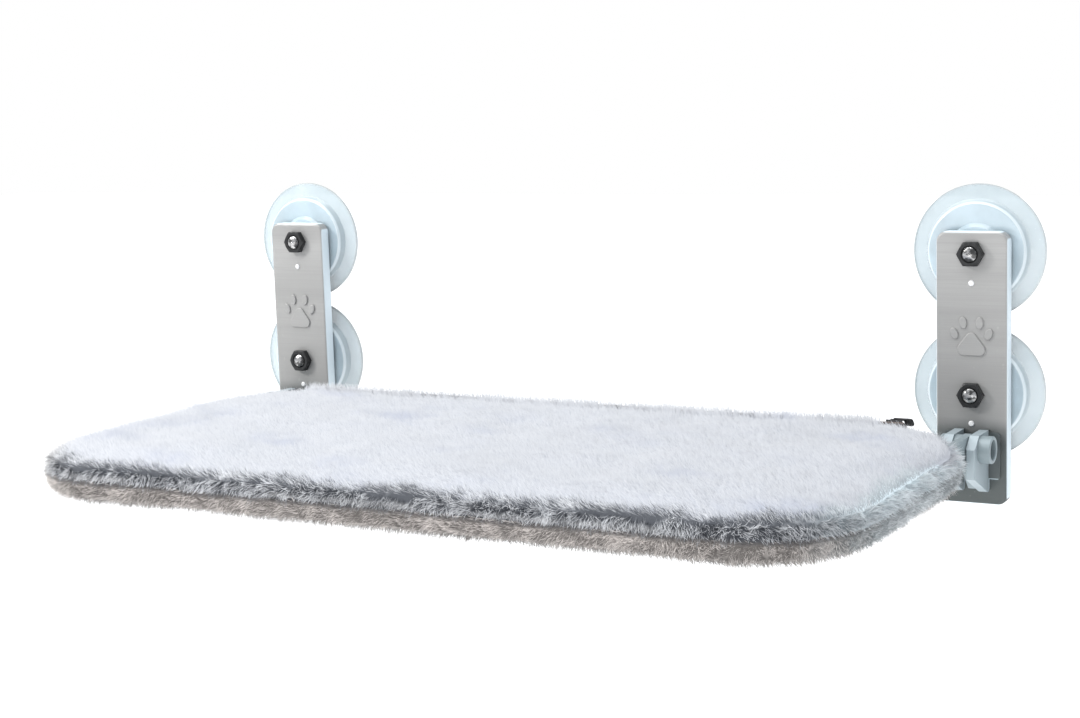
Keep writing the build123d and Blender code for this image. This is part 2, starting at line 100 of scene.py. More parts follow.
class Value:
    """A node's output that grows Math nodes when Python arithmetic is written on it."""

    def __init__(self, graph: "Graph", socket: NodeSocket) -> None:
        """Holds the output socket and the graph it belongs to."""
        self.graph = graph
        self.socket = socket

    def math(self, operation: str, first: "Value | Number", second: "Value | Number" = 0.0) -> "Value":
        """Adds one Math node and returns its output."""
        node = self.graph.node("ShaderNodeMath", {"operation": operation}, {0: first, 1: second})
        return Value(self.graph, node.outputs[0])

    __add__ = operator("ADD")
    __radd__ = operator("ADD", flipped=True)
    __sub__ = operator("SUBTRACT")
    __rsub__ = operator("SUBTRACT", flipped=True)
    __mul__ = operator("MULTIPLY")
    __rmul__ = operator("MULTIPLY", flipped=True)
    __truediv__ = operator("DIVIDE")
    __pow__ = operator("POWER")

    def step(self, low: float, high: float) -> "Value":
        """Goes smoothly from 0 at low to 1 at high.

        Args:
            low: Where the result starts to rise from 0.
            high: Where it reaches 1.

        Returns:
            The smooth step's value.
        """
        node = self.graph.node(
            "ShaderNodeMapRange",
            {"interpolation_type": "SMOOTHSTEP"},
            {"Value": self, "From Min": low, "From Max": high, "To Min": 0.0, "To Max": 1.0},
        )
        return Value(self.graph, node.outputs[0])

    def band(self, start: float, full: float, fade: float, end: float) -> "Value":
        """Rises from 0 at start to 1 at full, and falls from 1 at fade to 0 at end."""
        return self.step(start, full) * (1 - self.step(fade, end))


class Graph:
    """A node tree that is filled by method calls and by arithmetic on its values."""

    def __init__(self, tree: NodeTree) -> None:
        """Takes over an empty or emptied node tree."""
        self.tree = tree
        self.tree.nodes.clear()

    def node(
        self,
        kind: str,
        settings: dict[str, object] | None = None,
        inputs: dict[str | int, object] | None = None,
    ) -> Node:
        """Adds one node.

        Args:
            kind: The node's type name.
            settings: Properties, which are set before the inputs.
            inputs: Values or links of its sockets, by name or index.

        Returns:
            The new node.
        """
        made = self.tree.nodes.new(kind)
        for name, setting in (settings or {}).items():
            setattr(made, name, setting)
        for key, value in (inputs or {}).items():
            self.feed(made.inputs[key], value)
        return made

    def feed(self, socket: NodeSocket, value: object) -> None:
        """Links a Value to an input socket, or sets the socket's own number, colour or name.

        Args:
            socket: The input socket.
            value: A Value to link, or what the socket is set to.
        """
        if isinstance(value, Value):
            self.tree.links.new(value.socket, socket)
        else:
            socket.default_value = value

    def out(self, node: Node, key: str | int = 0) -> Value:
        """Wraps one output of a node."""
        return Value(self, node.outputs[key])

    def size(self, number: Value) -> Value:
        """A number without its sign."""
        return number.math("ABSOLUTE", number)

    def attribute(self, name: str) -> Value:
        """A number stored on the mesh's points."""
        return self.out(self.node("ShaderNodeAttribute", {"attribute_name": name}), "Fac")

    def place(self) -> Value:
        """Object coordinates, in metres."""
        return self.out(self.node("ShaderNodeTexCoord"), "Object")

    def axis(self, vector: Value, name: str) -> Value:
        """One of a vector's X, Y and Z."""
        return self.out(self.node("ShaderNodeSeparateXYZ", inputs={0: vector}), name)

    def vector(self, operation: str, first: object, second: object = None, scale: object = None) -> Value:
        """Adds one Vector Math node.

        Args:
            operation: The node's operation.
            first: The first vector.
            second: The second vector, where the operation has one.
            scale: The factor of a SCALE.

        Returns:
            The node's vector.
        """
        inputs = {0: first}
        if second is not None:
            inputs[1] = second
        if scale is not None:
            inputs["Scale"] = scale
        return self.out(self.node("ShaderNodeVectorMath", {"operation": operation}, inputs))

    def stretch(self, vector: Value, scales: Triple) -> Value:
        """A vector with each axis multiplied."""
        return self.vector("MULTIPLY", vector, scales)

    def noise(self, vector: Value, scale: float, detail: float = 2.0, output: str = "Factor") -> Value:
        """A noise texture's factor or colour at a place."""
        made = self.node("ShaderNodeTexNoise", inputs={"Vector": vector, "Scale": scale, "Detail": detail})
        return self.out(made, 0 if output == "Factor" else 1)

    def random(self, low: float, high: float, seed: int) -> Value:
        """A random number between two numbers, for each point or instance."""
        made = self.node("FunctionNodeRandomValue", {"data_type": "FLOAT"}, {2: low, 3: high, "Seed": seed})
        return self.out(made, 1)

    def kept(self, geometry: Value, name: str, value: Value, kind: str, domain: str) -> Value:
        """A geometry with a value stored on it under a name.

        Args:
            geometry: The geometry.
            name: The stored attribute's name.
            value: The value for each point or instance.
            kind: The attribute's data type.
            domain: What it is stored on.

        Returns:
            The geometry with the attribute on it.
        """
        settings = {"data_type": kind, "domain": domain}
        inputs = {"Geometry": geometry, "Name": name, "Value": value}
        return self.out(self.node("GeometryNodeStoreNamedAttribute", settings, inputs))

    def mix(self, factor: object, first: object, second: object) -> Value:
        """A colour between two colours or colour values."""
        made = self.node("ShaderNodeMix", {"data_type": "RGBA"}, {0: factor, 6: first, 7: second})
        return self.out(made, 2)


def rgba(colour: Triple, alpha: float = 1.0) -> tuple[float, float, float, float]:
    """A linear colour with its alpha."""
    return (*colour, alpha)


def shade(colour: Triple, factor: float) -> tuple[float, float, float, float]:
    """A colour made lighter or darker by a factor, with alpha 1."""
    return rgba(tuple(min(1.0, channel * factor) for channel in colour))


@dataclass(frozen=True)
class Finish:
    """A surface finish. Each kind of finish paints its own graph."""

    name: str
    colour: Triple

    def paint(self, graph: Graph) -> dict[str, object]:
        """The shader's inputs, by name; overridden by each kind of finish."""
        raise NotImplementedError

    def material(self) -> Material:
        """The finish's material, made the first time it is asked for.

        Returns:
            The material.
        """
        title = f"{self.name}_finish"
        known = bpy.data.materials.get(title)
        if known:
            return known
        made = bpy.data.materials.new(title)
        made.use_nodes = True
        graph = Graph(made.node_tree)
        shader = graph.node("ShaderNodeBsdfPrincipled")
        graph.node("ShaderNodeOutputMaterial", inputs={"Surface": Value(graph, shader.outputs[0])})
        made.diffuse_color = rgba(self.colour)
        for socket, value in self.paint(graph).items():
            graph.feed(shader.inputs[socket], value)
        return made

    def dress(self, piece: Object) -> None:
        """Gives the piece this finish alone.

        Args:
            piece: The piece to dress.
        """
        piece.data.materials.clear()
        piece.data.materials.append(self.material())
        for slot in piece.material_slots:
            slot.material = self.material()


def bump(graph: Graph, height: Value, strength: float, distance: float) -> Value:
    """A normal that follows a height, by a Bump node."""
    made = graph.node("ShaderNodeBump", inputs={"Strength": strength, "Distance": distance, "Height": height})
    return graph.out(made)


@dataclass(frozen=True)
class PowderCoat(Finish):
    """Satin powder-coated steel: fine orange peel, faint clouding and, on the ears, painted shade where the
    weld flange meets the plate, with a painted highlight along its lower lip.
    """

    roughness: float = 0.38
    metallic: float = 0.15
    has_foot_shade: bool = False
    # The colour of the painted shade where the ears meet the plate.
    foot_shade: Triple = (0.09, 0.105, 0.108)
    foot_far: float = -18.6 * MM
    foot_near: float = -17.7 * MM
    lip_height: float = -84.3 * MM
    lip_edge: float = 0.1 * MM

    def paint(self, graph: Graph) -> dict[str, object]:
        """Clouds, orange peel, scuffs, and the painted shade near the plate with a painted highlight along
        its lower lip.

        Args:
            graph: The graph that the finish's nodes go into.

        Returns:
            The shader's inputs, by name.
        """
        place = graph.place()
        cloud = graph.noise(place, scale=26.0, detail=4.0)
        peel = graph.noise(place, scale=1500.0, detail=2.0)
        scuff = graph.noise(graph.stretch(place, (90.0, 90.0, 900.0)), scale=1.0, detail=5.0).step(0.62, 0.75)
        tone = graph.mix(cloud.step(0.3, 0.7), shade(self.colour, 0.94), shade(self.colour, 1.05))
        tone = graph.mix(scuff * 0.12, tone, shade(self.colour, 1.25))
        # Painted shade darkens the ears where they meet the plate; lip marks a painted highlight along the
        # flange's lower edge.
        if self.has_foot_shade:
            near_plate = graph.axis(place, "Y").step(self.foot_far, self.foot_near)
            lip = 1 - graph.axis(place, "Z").step(self.lip_height - self.lip_edge, self.lip_height)
            foot_shade = graph.mix(lip, rgba(self.foot_shade), shade(self.colour, 1.5))
            tone = graph.mix(near_plate, tone, foot_shade)
        return {
            "Base Color": tone,
            "Roughness": self.roughness + peel * 0.1 + scuff * 0.08,
            "Metallic": self.metallic,
            "Normal": bump(graph, peel + scuff * 0.4, 0.12, 0.2 * MM),
        }


@dataclass(frozen=True)
class BrushedPlate(Finish):
    """Brushed steel under a thin lacquer: grain across the plate, pale returned edges, and painted shade that
    darkens it towards the bottom.
    """

    roughness: float = 0.4
    metallic: float = 0.25
    edge: Triple = (0.66, 0.75, 0.8)
    foot_shade: Triple = (0.075, 0.088, 0.088)
    edge_start: float = 0.7 * MM
    edge_end: float = 0.2 * MM
    foot_low: float = -66 * MM
    foot_high: float = -50 * MM
    foot_ragged: float = 8 * MM
    shade_low: float = -70 * MM
    shade_high: float = 30 * MM

    def paint(self, graph: Graph) -> dict[str, object]:
        """Brushing, broad bands, the painted shade over the bottom of the plate, and the paler paint of the
        returned edges.

        Args:
            graph: The graph that the finish's nodes go into.

        Returns:
            The shader's inputs, by name.
        """
        place = graph.place()
        height = graph.axis(place, "Z")
        grain = graph.noise(graph.stretch(place, (22.0, 22.0, 2200.0)), scale=1.0, detail=5.0)
        band = graph.noise(graph.stretch(place, (3.0, 3.0, 60.0)), scale=1.0, detail=3.0)
        scuff = graph.noise(place, scale=300.0, detail=4.0).step(0.66, 0.78)
        tone = graph.mix(band.step(0.3, 0.7), shade(self.colour, 0.9), shade(self.colour, 1.08))
        # Painted shade: the plate grows darker towards the bottom.
        tone = graph.mix(height.step(self.shade_low, self.shade_high), shade(self.colour, 0.86), tone)
        tone = graph.mix(grain.step(0.4, 0.7) * 0.3, tone, shade(self.colour, 0.8))
        # Painted shade of the bed: a dark grey over the bottom of the plate, with a ragged upper edge.
        foot_shade = height + (band - 0.5) * self.foot_ragged
        tone = graph.mix(foot_shade.step(self.foot_low, self.foot_high), rgba(self.foot_shade), tone)
        tone = graph.mix(scuff * 0.25, tone, shade(self.colour, 1.5))
        low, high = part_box("wall_plate_right")
        centre, half = middle("wall_plate_right"), (high - low) / 2
        across = graph.size(graph.size(graph.axis(place, "X")) - centre.x)
        up = graph.size(height - centre.z)
        brim = across.step(half.x - self.edge_start, half.x - self.edge_end)
        brim = brim + (1 - brim) * up.step(half.z - self.edge_start, half.z - self.edge_end)
        return {
            "Base Color": graph.mix(brim, tone, rgba(self.edge)),
            "Roughness": self.roughness + grain * 0.14 - scuff * 0.1,
            "Metallic": (1 - brim) * self.metallic,
            "Normal": bump(graph, grain, 0.18, 0.12 * MM),
        }


@dataclass(frozen=True)
class PlatedMetal(Finish):
    """Plated fastener metal with fine turning lines, a little tarnish and, where asked for, blots of painted
    dark reflection.
    """

    roughness: float = 0.2
    metallic: float = 1.0
    line_scale: float = 2600.0
    dark_reflection: float = 0.0

    def paint(self, graph: Graph) -> dict[str, object]:
        """Turning lines round the stud's own direction, cloudy tarnish, and blots of painted dark reflection.

        Args:
            graph: The graph that the finish's nodes go into.

        Returns:
            The shader's inputs, by name.
        """
        place = graph.place()
        lines = graph.noise(graph.stretch(place, (0.2, 1.0, 0.2)), scale=self.line_scale, detail=2.0)
        tarnish = graph.noise(place, scale=420.0, detail=4.0).step(0.4, 0.75)
        tone = graph.mix(tarnish, rgba(self.colour), shade(self.colour, 0.7))
        # Painted reflection: dark blots where the chrome would mirror dark surroundings.
        reflection_blots = graph.noise(place, scale=330.0, detail=3.0).step(0.46, 0.56)
        tone = graph.mix(reflection_blots * self.dark_reflection, tone, shade(self.colour, 0.08))
        return {
            "Base Color": tone,
            "Roughness": self.roughness + tarnish * 0.15 + lines * 0.08,
            "Metallic": self.metallic,
            "Normal": bump(graph, lines, 0.15, 0.1 * MM),
        }


@dataclass(frozen=True)
class SoftVinyl(Finish):
    """Clear, faintly blue soft vinyl, cloudy in its thick middle, with a fine grey line at the rim."""

    skirt: float = 0.6
    disc: float = 0.88
    disc_colour: Triple = (0.4, 0.49, 0.54)
    ring_highlight: Triple = (0.66, 0.74, 0.78)
    rim_colour: Triple = (0.42, 0.46, 0.47)
    ring_share: float = 0.72
    ring_width: float = 0.6 * MM
    rim_width: float = 0.4 * MM

    def paint(self, graph: Graph) -> dict[str, object]:
        """Clear skirt, bluish disc, a painted highlight ring at the shoulder and a grey rim, with flow marks
        and dust.

        Args:
            graph: The graph that the finish's nodes go into.

        Returns:
            The shader's inputs, by name.
        """
        centre, low = middle("suction_cup_upper_right"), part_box("suction_cup_upper_right")[0]
        reach = centre.x - low[0]
        shoulder = reach * self.ring_share
        place = graph.place()
        across = graph.size(graph.axis(place, "X")) - centre.x
        up = graph.size(graph.axis(place, "Z")) - centre.z
        radius = (across * across + up * up) ** 0.5
        disc = 1 - radius.step(shoulder - self.ring_width, shoulder)
        ring = radius.band(*(shoulder + turn * self.ring_width for turn in (-1, 0, 1, 2)))
        rim = radius.step(reach - 2 * self.rim_width, reach - self.rim_width)
        flow = graph.noise(graph.stretch(place, (1.0, 0.25, 1.0)), scale=55.0, detail=3.0)
        dust = graph.noise(place, scale=900.0, detail=3.0).step(0.62, 0.8)
        tone = graph.mix(flow.step(0.35, 0.7) * 0.4, rgba(self.colour), shade(self.colour, 1.12))
        inner = graph.mix(flow.step(0.3, 0.7), rgba(self.disc_colour), shade(self.disc_colour, 1.2))
        tone = graph.mix(disc, tone, inner)
        # Painted highlight: a thin bright ring round the cup's shoulder.
        tone = graph.mix(ring, tone, rgba(self.ring_highlight))
        return {
            "Base Color": graph.mix(rim, tone, rgba(self.rim_colour)),
            "Alpha": self.skirt + disc * (self.disc - self.skirt) + ring * 0.35 + rim * 0.4 + dust * 0.05,
            "Roughness": 0.12 + flow * 0.1 + dust * 0.2,
            "Coat Weight": 0.4,
            "Coat Roughness": 0.08,
            "Normal": bump(graph, flow, 0.12, 0.6 * MM),
        }


@dataclass(frozen=True)
class Pile(Finish):
    """Plush pile, dark at the root and frosted at the tip, with tufts of different depth and tone."""

    tip: Triple = (0.62, 0.64, 0.67)
    end_root: Triple = (0.2, 0.2, 0.205)
    end_tip: Triple = (0.66, 0.66, 0.66)
    crown_root: Triple = (0.37, 0.39, 0.435)
    crown_tip: Triple = (0.57, 0.585, 0.615)
    patch: Triple = (0.36, 0.39, 0.48)
    # Root and tip colours of the painted light towards the right-hand end.
    painted_light_root: Triple = (0.58, 0.67, 0.71)
    painted_light_tip: Triple = (0.82, 0.875, 0.9)
    welt: Triple = (0.62, 0.63, 0.64)
    seam_shadow: Triple = (0.09, 0.09, 0.095)
    welt_share: float = 0.32
    welt_height: float = 1.9 * MM
    welt_band: Span = (-0.3, 0.4, 0.9, 1.9)
    seam_shadow_band: Span = (-1.5, -0.7, -0.4, 0.1)
    flank_reach: float = 12.5 * MM
    end_x: tuple[float, float] = (-236 * MM, -205 * MM)
    painted_light_x: tuple[float, float] = (130 * MM, 205 * MM)
    painted_light_y: tuple[float, float] = (-265 * MM, -205 * MM)
    ragged: float = 30 * MM
    seam_ragged: float = 4 * MM
    seam_fray: float = 1.4 * MM
    root_end: float = 0.15
    tip_start: float = 0.9

    def paint(self, graph: Graph) -> dict[str, object]:
        """Root to tip, side to crown, tuft by tuft, painted light towards the right-hand end, and the pale
        welt over a painted shadow along the seam.

        Args:
            graph: The graph that the finish's nodes go into.

        Returns:
            The shader's inputs, by name.
        """
        place = graph.place()
        along = graph.attribute("along")
        strand = graph.attribute("strand")
        crown = graph.attribute("crown")
        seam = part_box("plush_cover_lower")[1][2]
        tuft = graph.noise(place, scale=110.0, detail=3.0)
        clump = graph.noise(place, scale=42.0, detail=3.0)
        cloud = graph.noise(graph.stretch(place, (1.0, 1.6, 1.0)), scale=17.0, detail=4.0)
        reach = (along + (tuft - 0.5) * 1.1 + (clump - 0.5) * 0.7 + (strand - 0.5) * 0.35).step(
            self.root_end, self.tip_start
        )
        side = graph.mix(reach, rgba(self.colour), rgba(self.tip))
        along_x, along_y = graph.axis(place, "X"), graph.axis(place, "Y")
        level = graph.axis(place, "Z") - seam
        flank = level.step(-self.flank_reach, -self.flank_reach * 0.75)
        ragged = (clump - 0.5) * self.ragged
        end = (1 - (along_x + ragged).step(*self.end_x)) * flank
        side = graph.mix(end, side, graph.mix(reach, rgba(self.end_root), rgba(self.end_tip)))
        # Painted light: pale, cool pile towards the right-hand end, where light from the right falls; pale
        # marks this painted light.
        pale = along_x.step(*self.painted_light_x) * (along_y + ragged).step(*self.painted_light_y) * flank
        side = graph.mix(pale, side, graph.mix(reach, rgba(self.painted_light_root), rgba(self.painted_light_tip)))
        height = level + (clump - 0.5) * self.seam_ragged + (strand - 0.5) * self.seam_fray
        welt = height.band(*(share * self.welt_height for share in self.welt_band))
        # Painted shadow: a dark line along the seam, under the pale welt.
        seam_shadow = height.band(*(share * self.welt_height for share in self.seam_shadow_band))
        broken = graph.noise(graph.stretch(place, (1.0, 1.0, 0.2)), scale=30.0, detail=2.0).step(0.45, 0.62)
        side = graph.mix(welt * broken * self.welt_share, side, rgba(self.welt))
        side = graph.mix(seam_shadow * 0.8 * (1 - pale * 0.6), side, rgba(self.seam_shadow))
        top = graph.mix(along.step(0.0, 0.8), rgba(self.crown_root), rgba(self.crown_tip))
        top = graph.mix(cloud.step(0.52, 0.76) * (1 - tuft.step(0.4, 0.75)) * 0.75, top, rgba(self.patch))
        crown = (crown + (strand - 0.5) * crown * (1 - crown) * 2.4).step(0.12, 0.88)
        tone = graph.mix(crown, side, top)
        tone = graph.mix(strand * 0.12, tone, rgba(self.crown_tip))
        return {
            "Base Color": tone,
            "Roughness": 0.85,
            "Sheen Weight": 0.25,
            "Sheen Roughness": 0.4,
            "Specular IOR Level": 0.2,
        }


@dataclass(frozen=True)
class Weave(Finish):
    """A plain woven cloth or tape."""

    thread: float = 0.6 * MM
    roughness: float = 0.85
    contrast: float = 0.72

    def paint(self, graph: Graph) -> dict[str, object]:
        """Warp and weft waves over the cloth, with uneven dye.

        Args:
            graph: The graph that the finish's nodes go into.

        Returns:
            The shader's inputs, by name.
        """
        place = graph.place()
        turns = math.tau / self.thread
        across = graph.axis(place, "X") * turns
        down = (graph.axis(place, "Y") - graph.axis(place, "Z")) * turns
        warp = across.math("SINE", across)
        weft = down.math("SINE", down)
        thread = (warp * weft) * 0.5 + 0.5
        dye = graph.noise(place, scale=60.0, detail=4.0)
        tone = graph.mix(thread, shade(self.colour, self.contrast), rgba(self.colour))
        return {
            "Base Color": graph.mix(dye.step(0.35, 0.7) * 0.3, tone, shade(self.colour, 1.2)),
            "Roughness": self.roughness - thread * 0.1,
            "Normal": bump(graph, thread, 0.4, 0.3 * MM),
        }


@dataclass(frozen=True)
class Moulded(Finish):
    """Moulded plastic with a fine grain."""

    roughness: float = 0.42

    def paint(self, graph: Graph) -> dict[str, object]:
        """Fine grain, and a slight change of tone.

        Args:
            graph: The graph that the finish's nodes go into.

        Returns:
            The shader's inputs, by name.
        """
        place = graph.place()
        grain = graph.noise(place, scale=2200.0, detail=2.0)
        tone = graph.noise(place, scale=140.0, detail=3.0).step(0.35, 0.7)
        return {
            "Base Color": graph.mix(tone, shade(self.colour, 0.85), shade(self.colour, 1.15)),
            "Roughness": self.roughness + grain * 0.15,
            "Normal": bump(graph, grain, 0.2, 0.1 * MM),
        }


@dataclass(frozen=True)
class StudioWhite(Finish):
    """The plain pale floor."""

    glow: float = 0.22

    def paint(self, graph: Graph) -> dict[str, object]:
        """A matt floor with barely any change of tone.

        Args:
            graph: The graph that the finish's nodes go into.

        Returns:
            The shader's inputs, by name.
        """
        cloud = graph.noise(graph.place(), scale=1.5, detail=2.0)
        return {
            "Base Color": graph.mix(cloud, shade(self.colour, 0.99), rgba(self.colour)),
            "Emission Color": rgba(self.colour),
            "Emission Strength": self.glow,
            "Roughness": 0.9,
            "Specular IOR Level": 0.1,
        }


PLATE_PAINT = BrushedPlate("plate_paint", (0.345, 0.345, 0.34))
EAR_PAINT = PowderCoat("ear_paint", (0.33, 0.39, 0.42), roughness=0.42, has_foot_shade=True)
HINGE_PAINT = PowderCoat("hinge_paint", (0.24, 0.29, 0.31), roughness=0.4)
FRAME_PAINT = PowderCoat("frame_paint", (0.6, 0.61, 0.62))
CLEAR_VINYL = SoftVinyl("clear_vinyl", (0.5, 0.59, 0.63))
STUD_CHROME = PlatedMetal("stud_chrome", (0.5, 0.5, 0.5), roughness=0.2, dark_reflection=0.85)
NUT_BLACK = PlatedMetal("nut_black", (0.026, 0.027, 0.028), roughness=0.35, metallic=0.5)
PEG_WHITE = Moulded("peg_white", (0.86, 0.87, 0.88), roughness=0.4)
SLEEVE_STEEL = PlatedMetal("sleeve_steel", (0.55, 0.55, 0.55), roughness=0.3)
SCREW_STEEL = PlatedMetal("screw_steel", (0.6, 0.6, 0.6), roughness=0.25)
UPPER_PILE = Pile("upper_pile", (0.045, 0.05, 0.06))
CROWN_PILE = Pile(
    "crown_pile", (0.045, 0.05, 0.06), painted_light_root=(0.34, 0.39, 0.42), painted_light_tip=(0.56, 0.61, 0.63)
)
LOWER_PILE = Pile(
    "lower_pile",
    (0.16, 0.15, 0.142),
    tip=(0.76, 0.71, 0.68),
    end_root=(0.26, 0.24, 0.23),
    end_tip=(0.8, 0.76, 0.73),
    crown_root=(0.3, 0.27, 0.25),
    crown_tip=(0.62, 0.575, 0.55),
    patch=(0.4, 0.36, 0.34),
    painted_light_root=(0.38, 0.43, 0.45),
    painted_light_tip=(0.84, 0.88, 0.9),
    welt_share=0.25,
)
UNDER_PILE = Pile(
    "under_pile",
    (0.25, 0.232, 0.22),
    tip=(0.4, 0.372, 0.352),
    crown_root=(0.3, 0.27, 0.25),
    crown_tip=(0.45, 0.42, 0.4),
    patch=(0.4, 0.36, 0.34),
    welt_share=0.0,
)
SLING_CLOTH = Weave("sling_cloth", (0.06, 0.06, 0.065), thread=1.2 * MM)
ZIP_TAPE = Weave("zip_tape", (0.13, 0.1, 0.085))
ZIP_TEETH = Moulded("zip_teeth", (0.12, 0.095, 0.08))
ZIP_BLACK = PlatedMetal("zip_black", (0.012, 0.012, 0.013), roughness=0.3, metallic=0.7)
FLOOR_WHITE = StudioWhite("floor_white", (0.9, 0.9, 0.9))


# ---------------------------------------------------------------- mesh helpers
def link(name: str, data: bpy.types.ID) -> Object:
    """Puts a mesh, lamp or camera into the scene as an object at the origin.

    Args:
        name: The new object's name.
        data: The mesh, lamp or camera.

    Returns:
        The new object.
    """
    made = bpy.data.objects.new(name, data)
    bpy.context.scene.collection.objects.link(made)
    return made


def piece_from(name: str, body: BMesh, smooth: bool = True) -> Object:
    """Writes a bmesh into a new object and frees it.

    Args:
        name: The new object's name.
        body: The bmesh, which is freed.
        smooth: Whether the faces are shaded smooth.

    Returns:
        The new object.
    """
    mesh = bpy.data.meshes.new(name)
    body.to_mesh(mesh)
    body.free()
    mesh.polygons.foreach_set("use_smooth", [smooth] * len(mesh.polygons))
    return link(name, mesh)


def settled(piece: Object, name: str) -> Object:
    """Replaces a piece by a new one whose mesh has the modifiers applied.

    Args:
        piece: The piece, which is removed.
        name: The new object's name.

    Returns:
        The new piece.
    """
    depsgraph = bpy.context.evaluated_depsgraph_get()
    mesh = bpy.data.meshes.new_from_object(piece.evaluated_get(depsgraph), depsgraph=depsgraph)
    made = link(name, mesh)
    mesh.name = name
    bpy.data.objects.remove(piece)
    return made


def points_of(mesh: Mesh, what: str = "co") -> np.ndarray:
    """A mesh's points or normals as rows of three numbers.

    Args:
        mesh: The mesh.
        what: co for the points' places, or normal.

    Returns:
        The rows, one for each point.
    """
    flat = np.empty(len(mesh.vertices) * 3)
    mesh.vertices.foreach_get(what, flat)
    return flat.reshape(-1, 3)


def set_points(mesh: Mesh, points: np.ndarray) -> None:
    """Moves a mesh's points to these rows of three numbers."""
    mesh.vertices.foreach_set("co", np.ascontiguousarray(points, dtype=np.float32).ravel())
    mesh.update()


def store(mesh: Mesh, name: str, numbers: np.ndarray) -> None:
    """Stores one number on each point of a mesh."""
    layer = mesh.attributes.new(name, "FLOAT", "POINT")
    layer.data.foreach_set("value", np.ascontiguousarray(numbers, dtype=np.float32))


def ease(numbers: np.ndarray, low: float, high: float) -> np.ndarray:
    """Goes smoothly from 0 at low to 1 at high."""
    part = np.clip((numbers - low) / (high - low), 0.0, 1.0)
    return part * part * (3 - 2 * part)


def ripple(points: np.ndarray, scale: float, seed: Triple = (0.0, 0.0, 0.0)) -> np.ndarray:
    """Smooth noise from about -1 to 1 at each point, with features about 1/scale long."""
    shift = Vector(seed)
    return np.array([noise.noise(Vector(point) * scale + shift) for point in points])


def corners(node: str) -> tuple[Vector, Vector]:
    """The low and the high corner of a CAD node's box."""
    low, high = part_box(node)
    return Vector(low), Vector(high)


def middle(node: str) -> Vector:
    """The middle of a CAD node's box."""
    low, high = corners(node)
    return (low + high) / 2


def from_zip(points: np.ndarray) -> tuple[np.ndarray, np.ndarray]:
    """How far each point is across the zip, towards its front, and out of the sloping face it lies on."""
    offset = points - np.array(middle("zip_tapes"))
    return (offset[:, 2] - offset[:, 1]) * math.sqrt(0.5), (offset[:, 1] + offset[:, 2]) * math.sqrt(0.5)


# ---------------------------------------------------------------- the bed's cushion
class Side(Enum):
    """The two wall plates' sides."""

    LEFT = -1
    RIGHT = 1


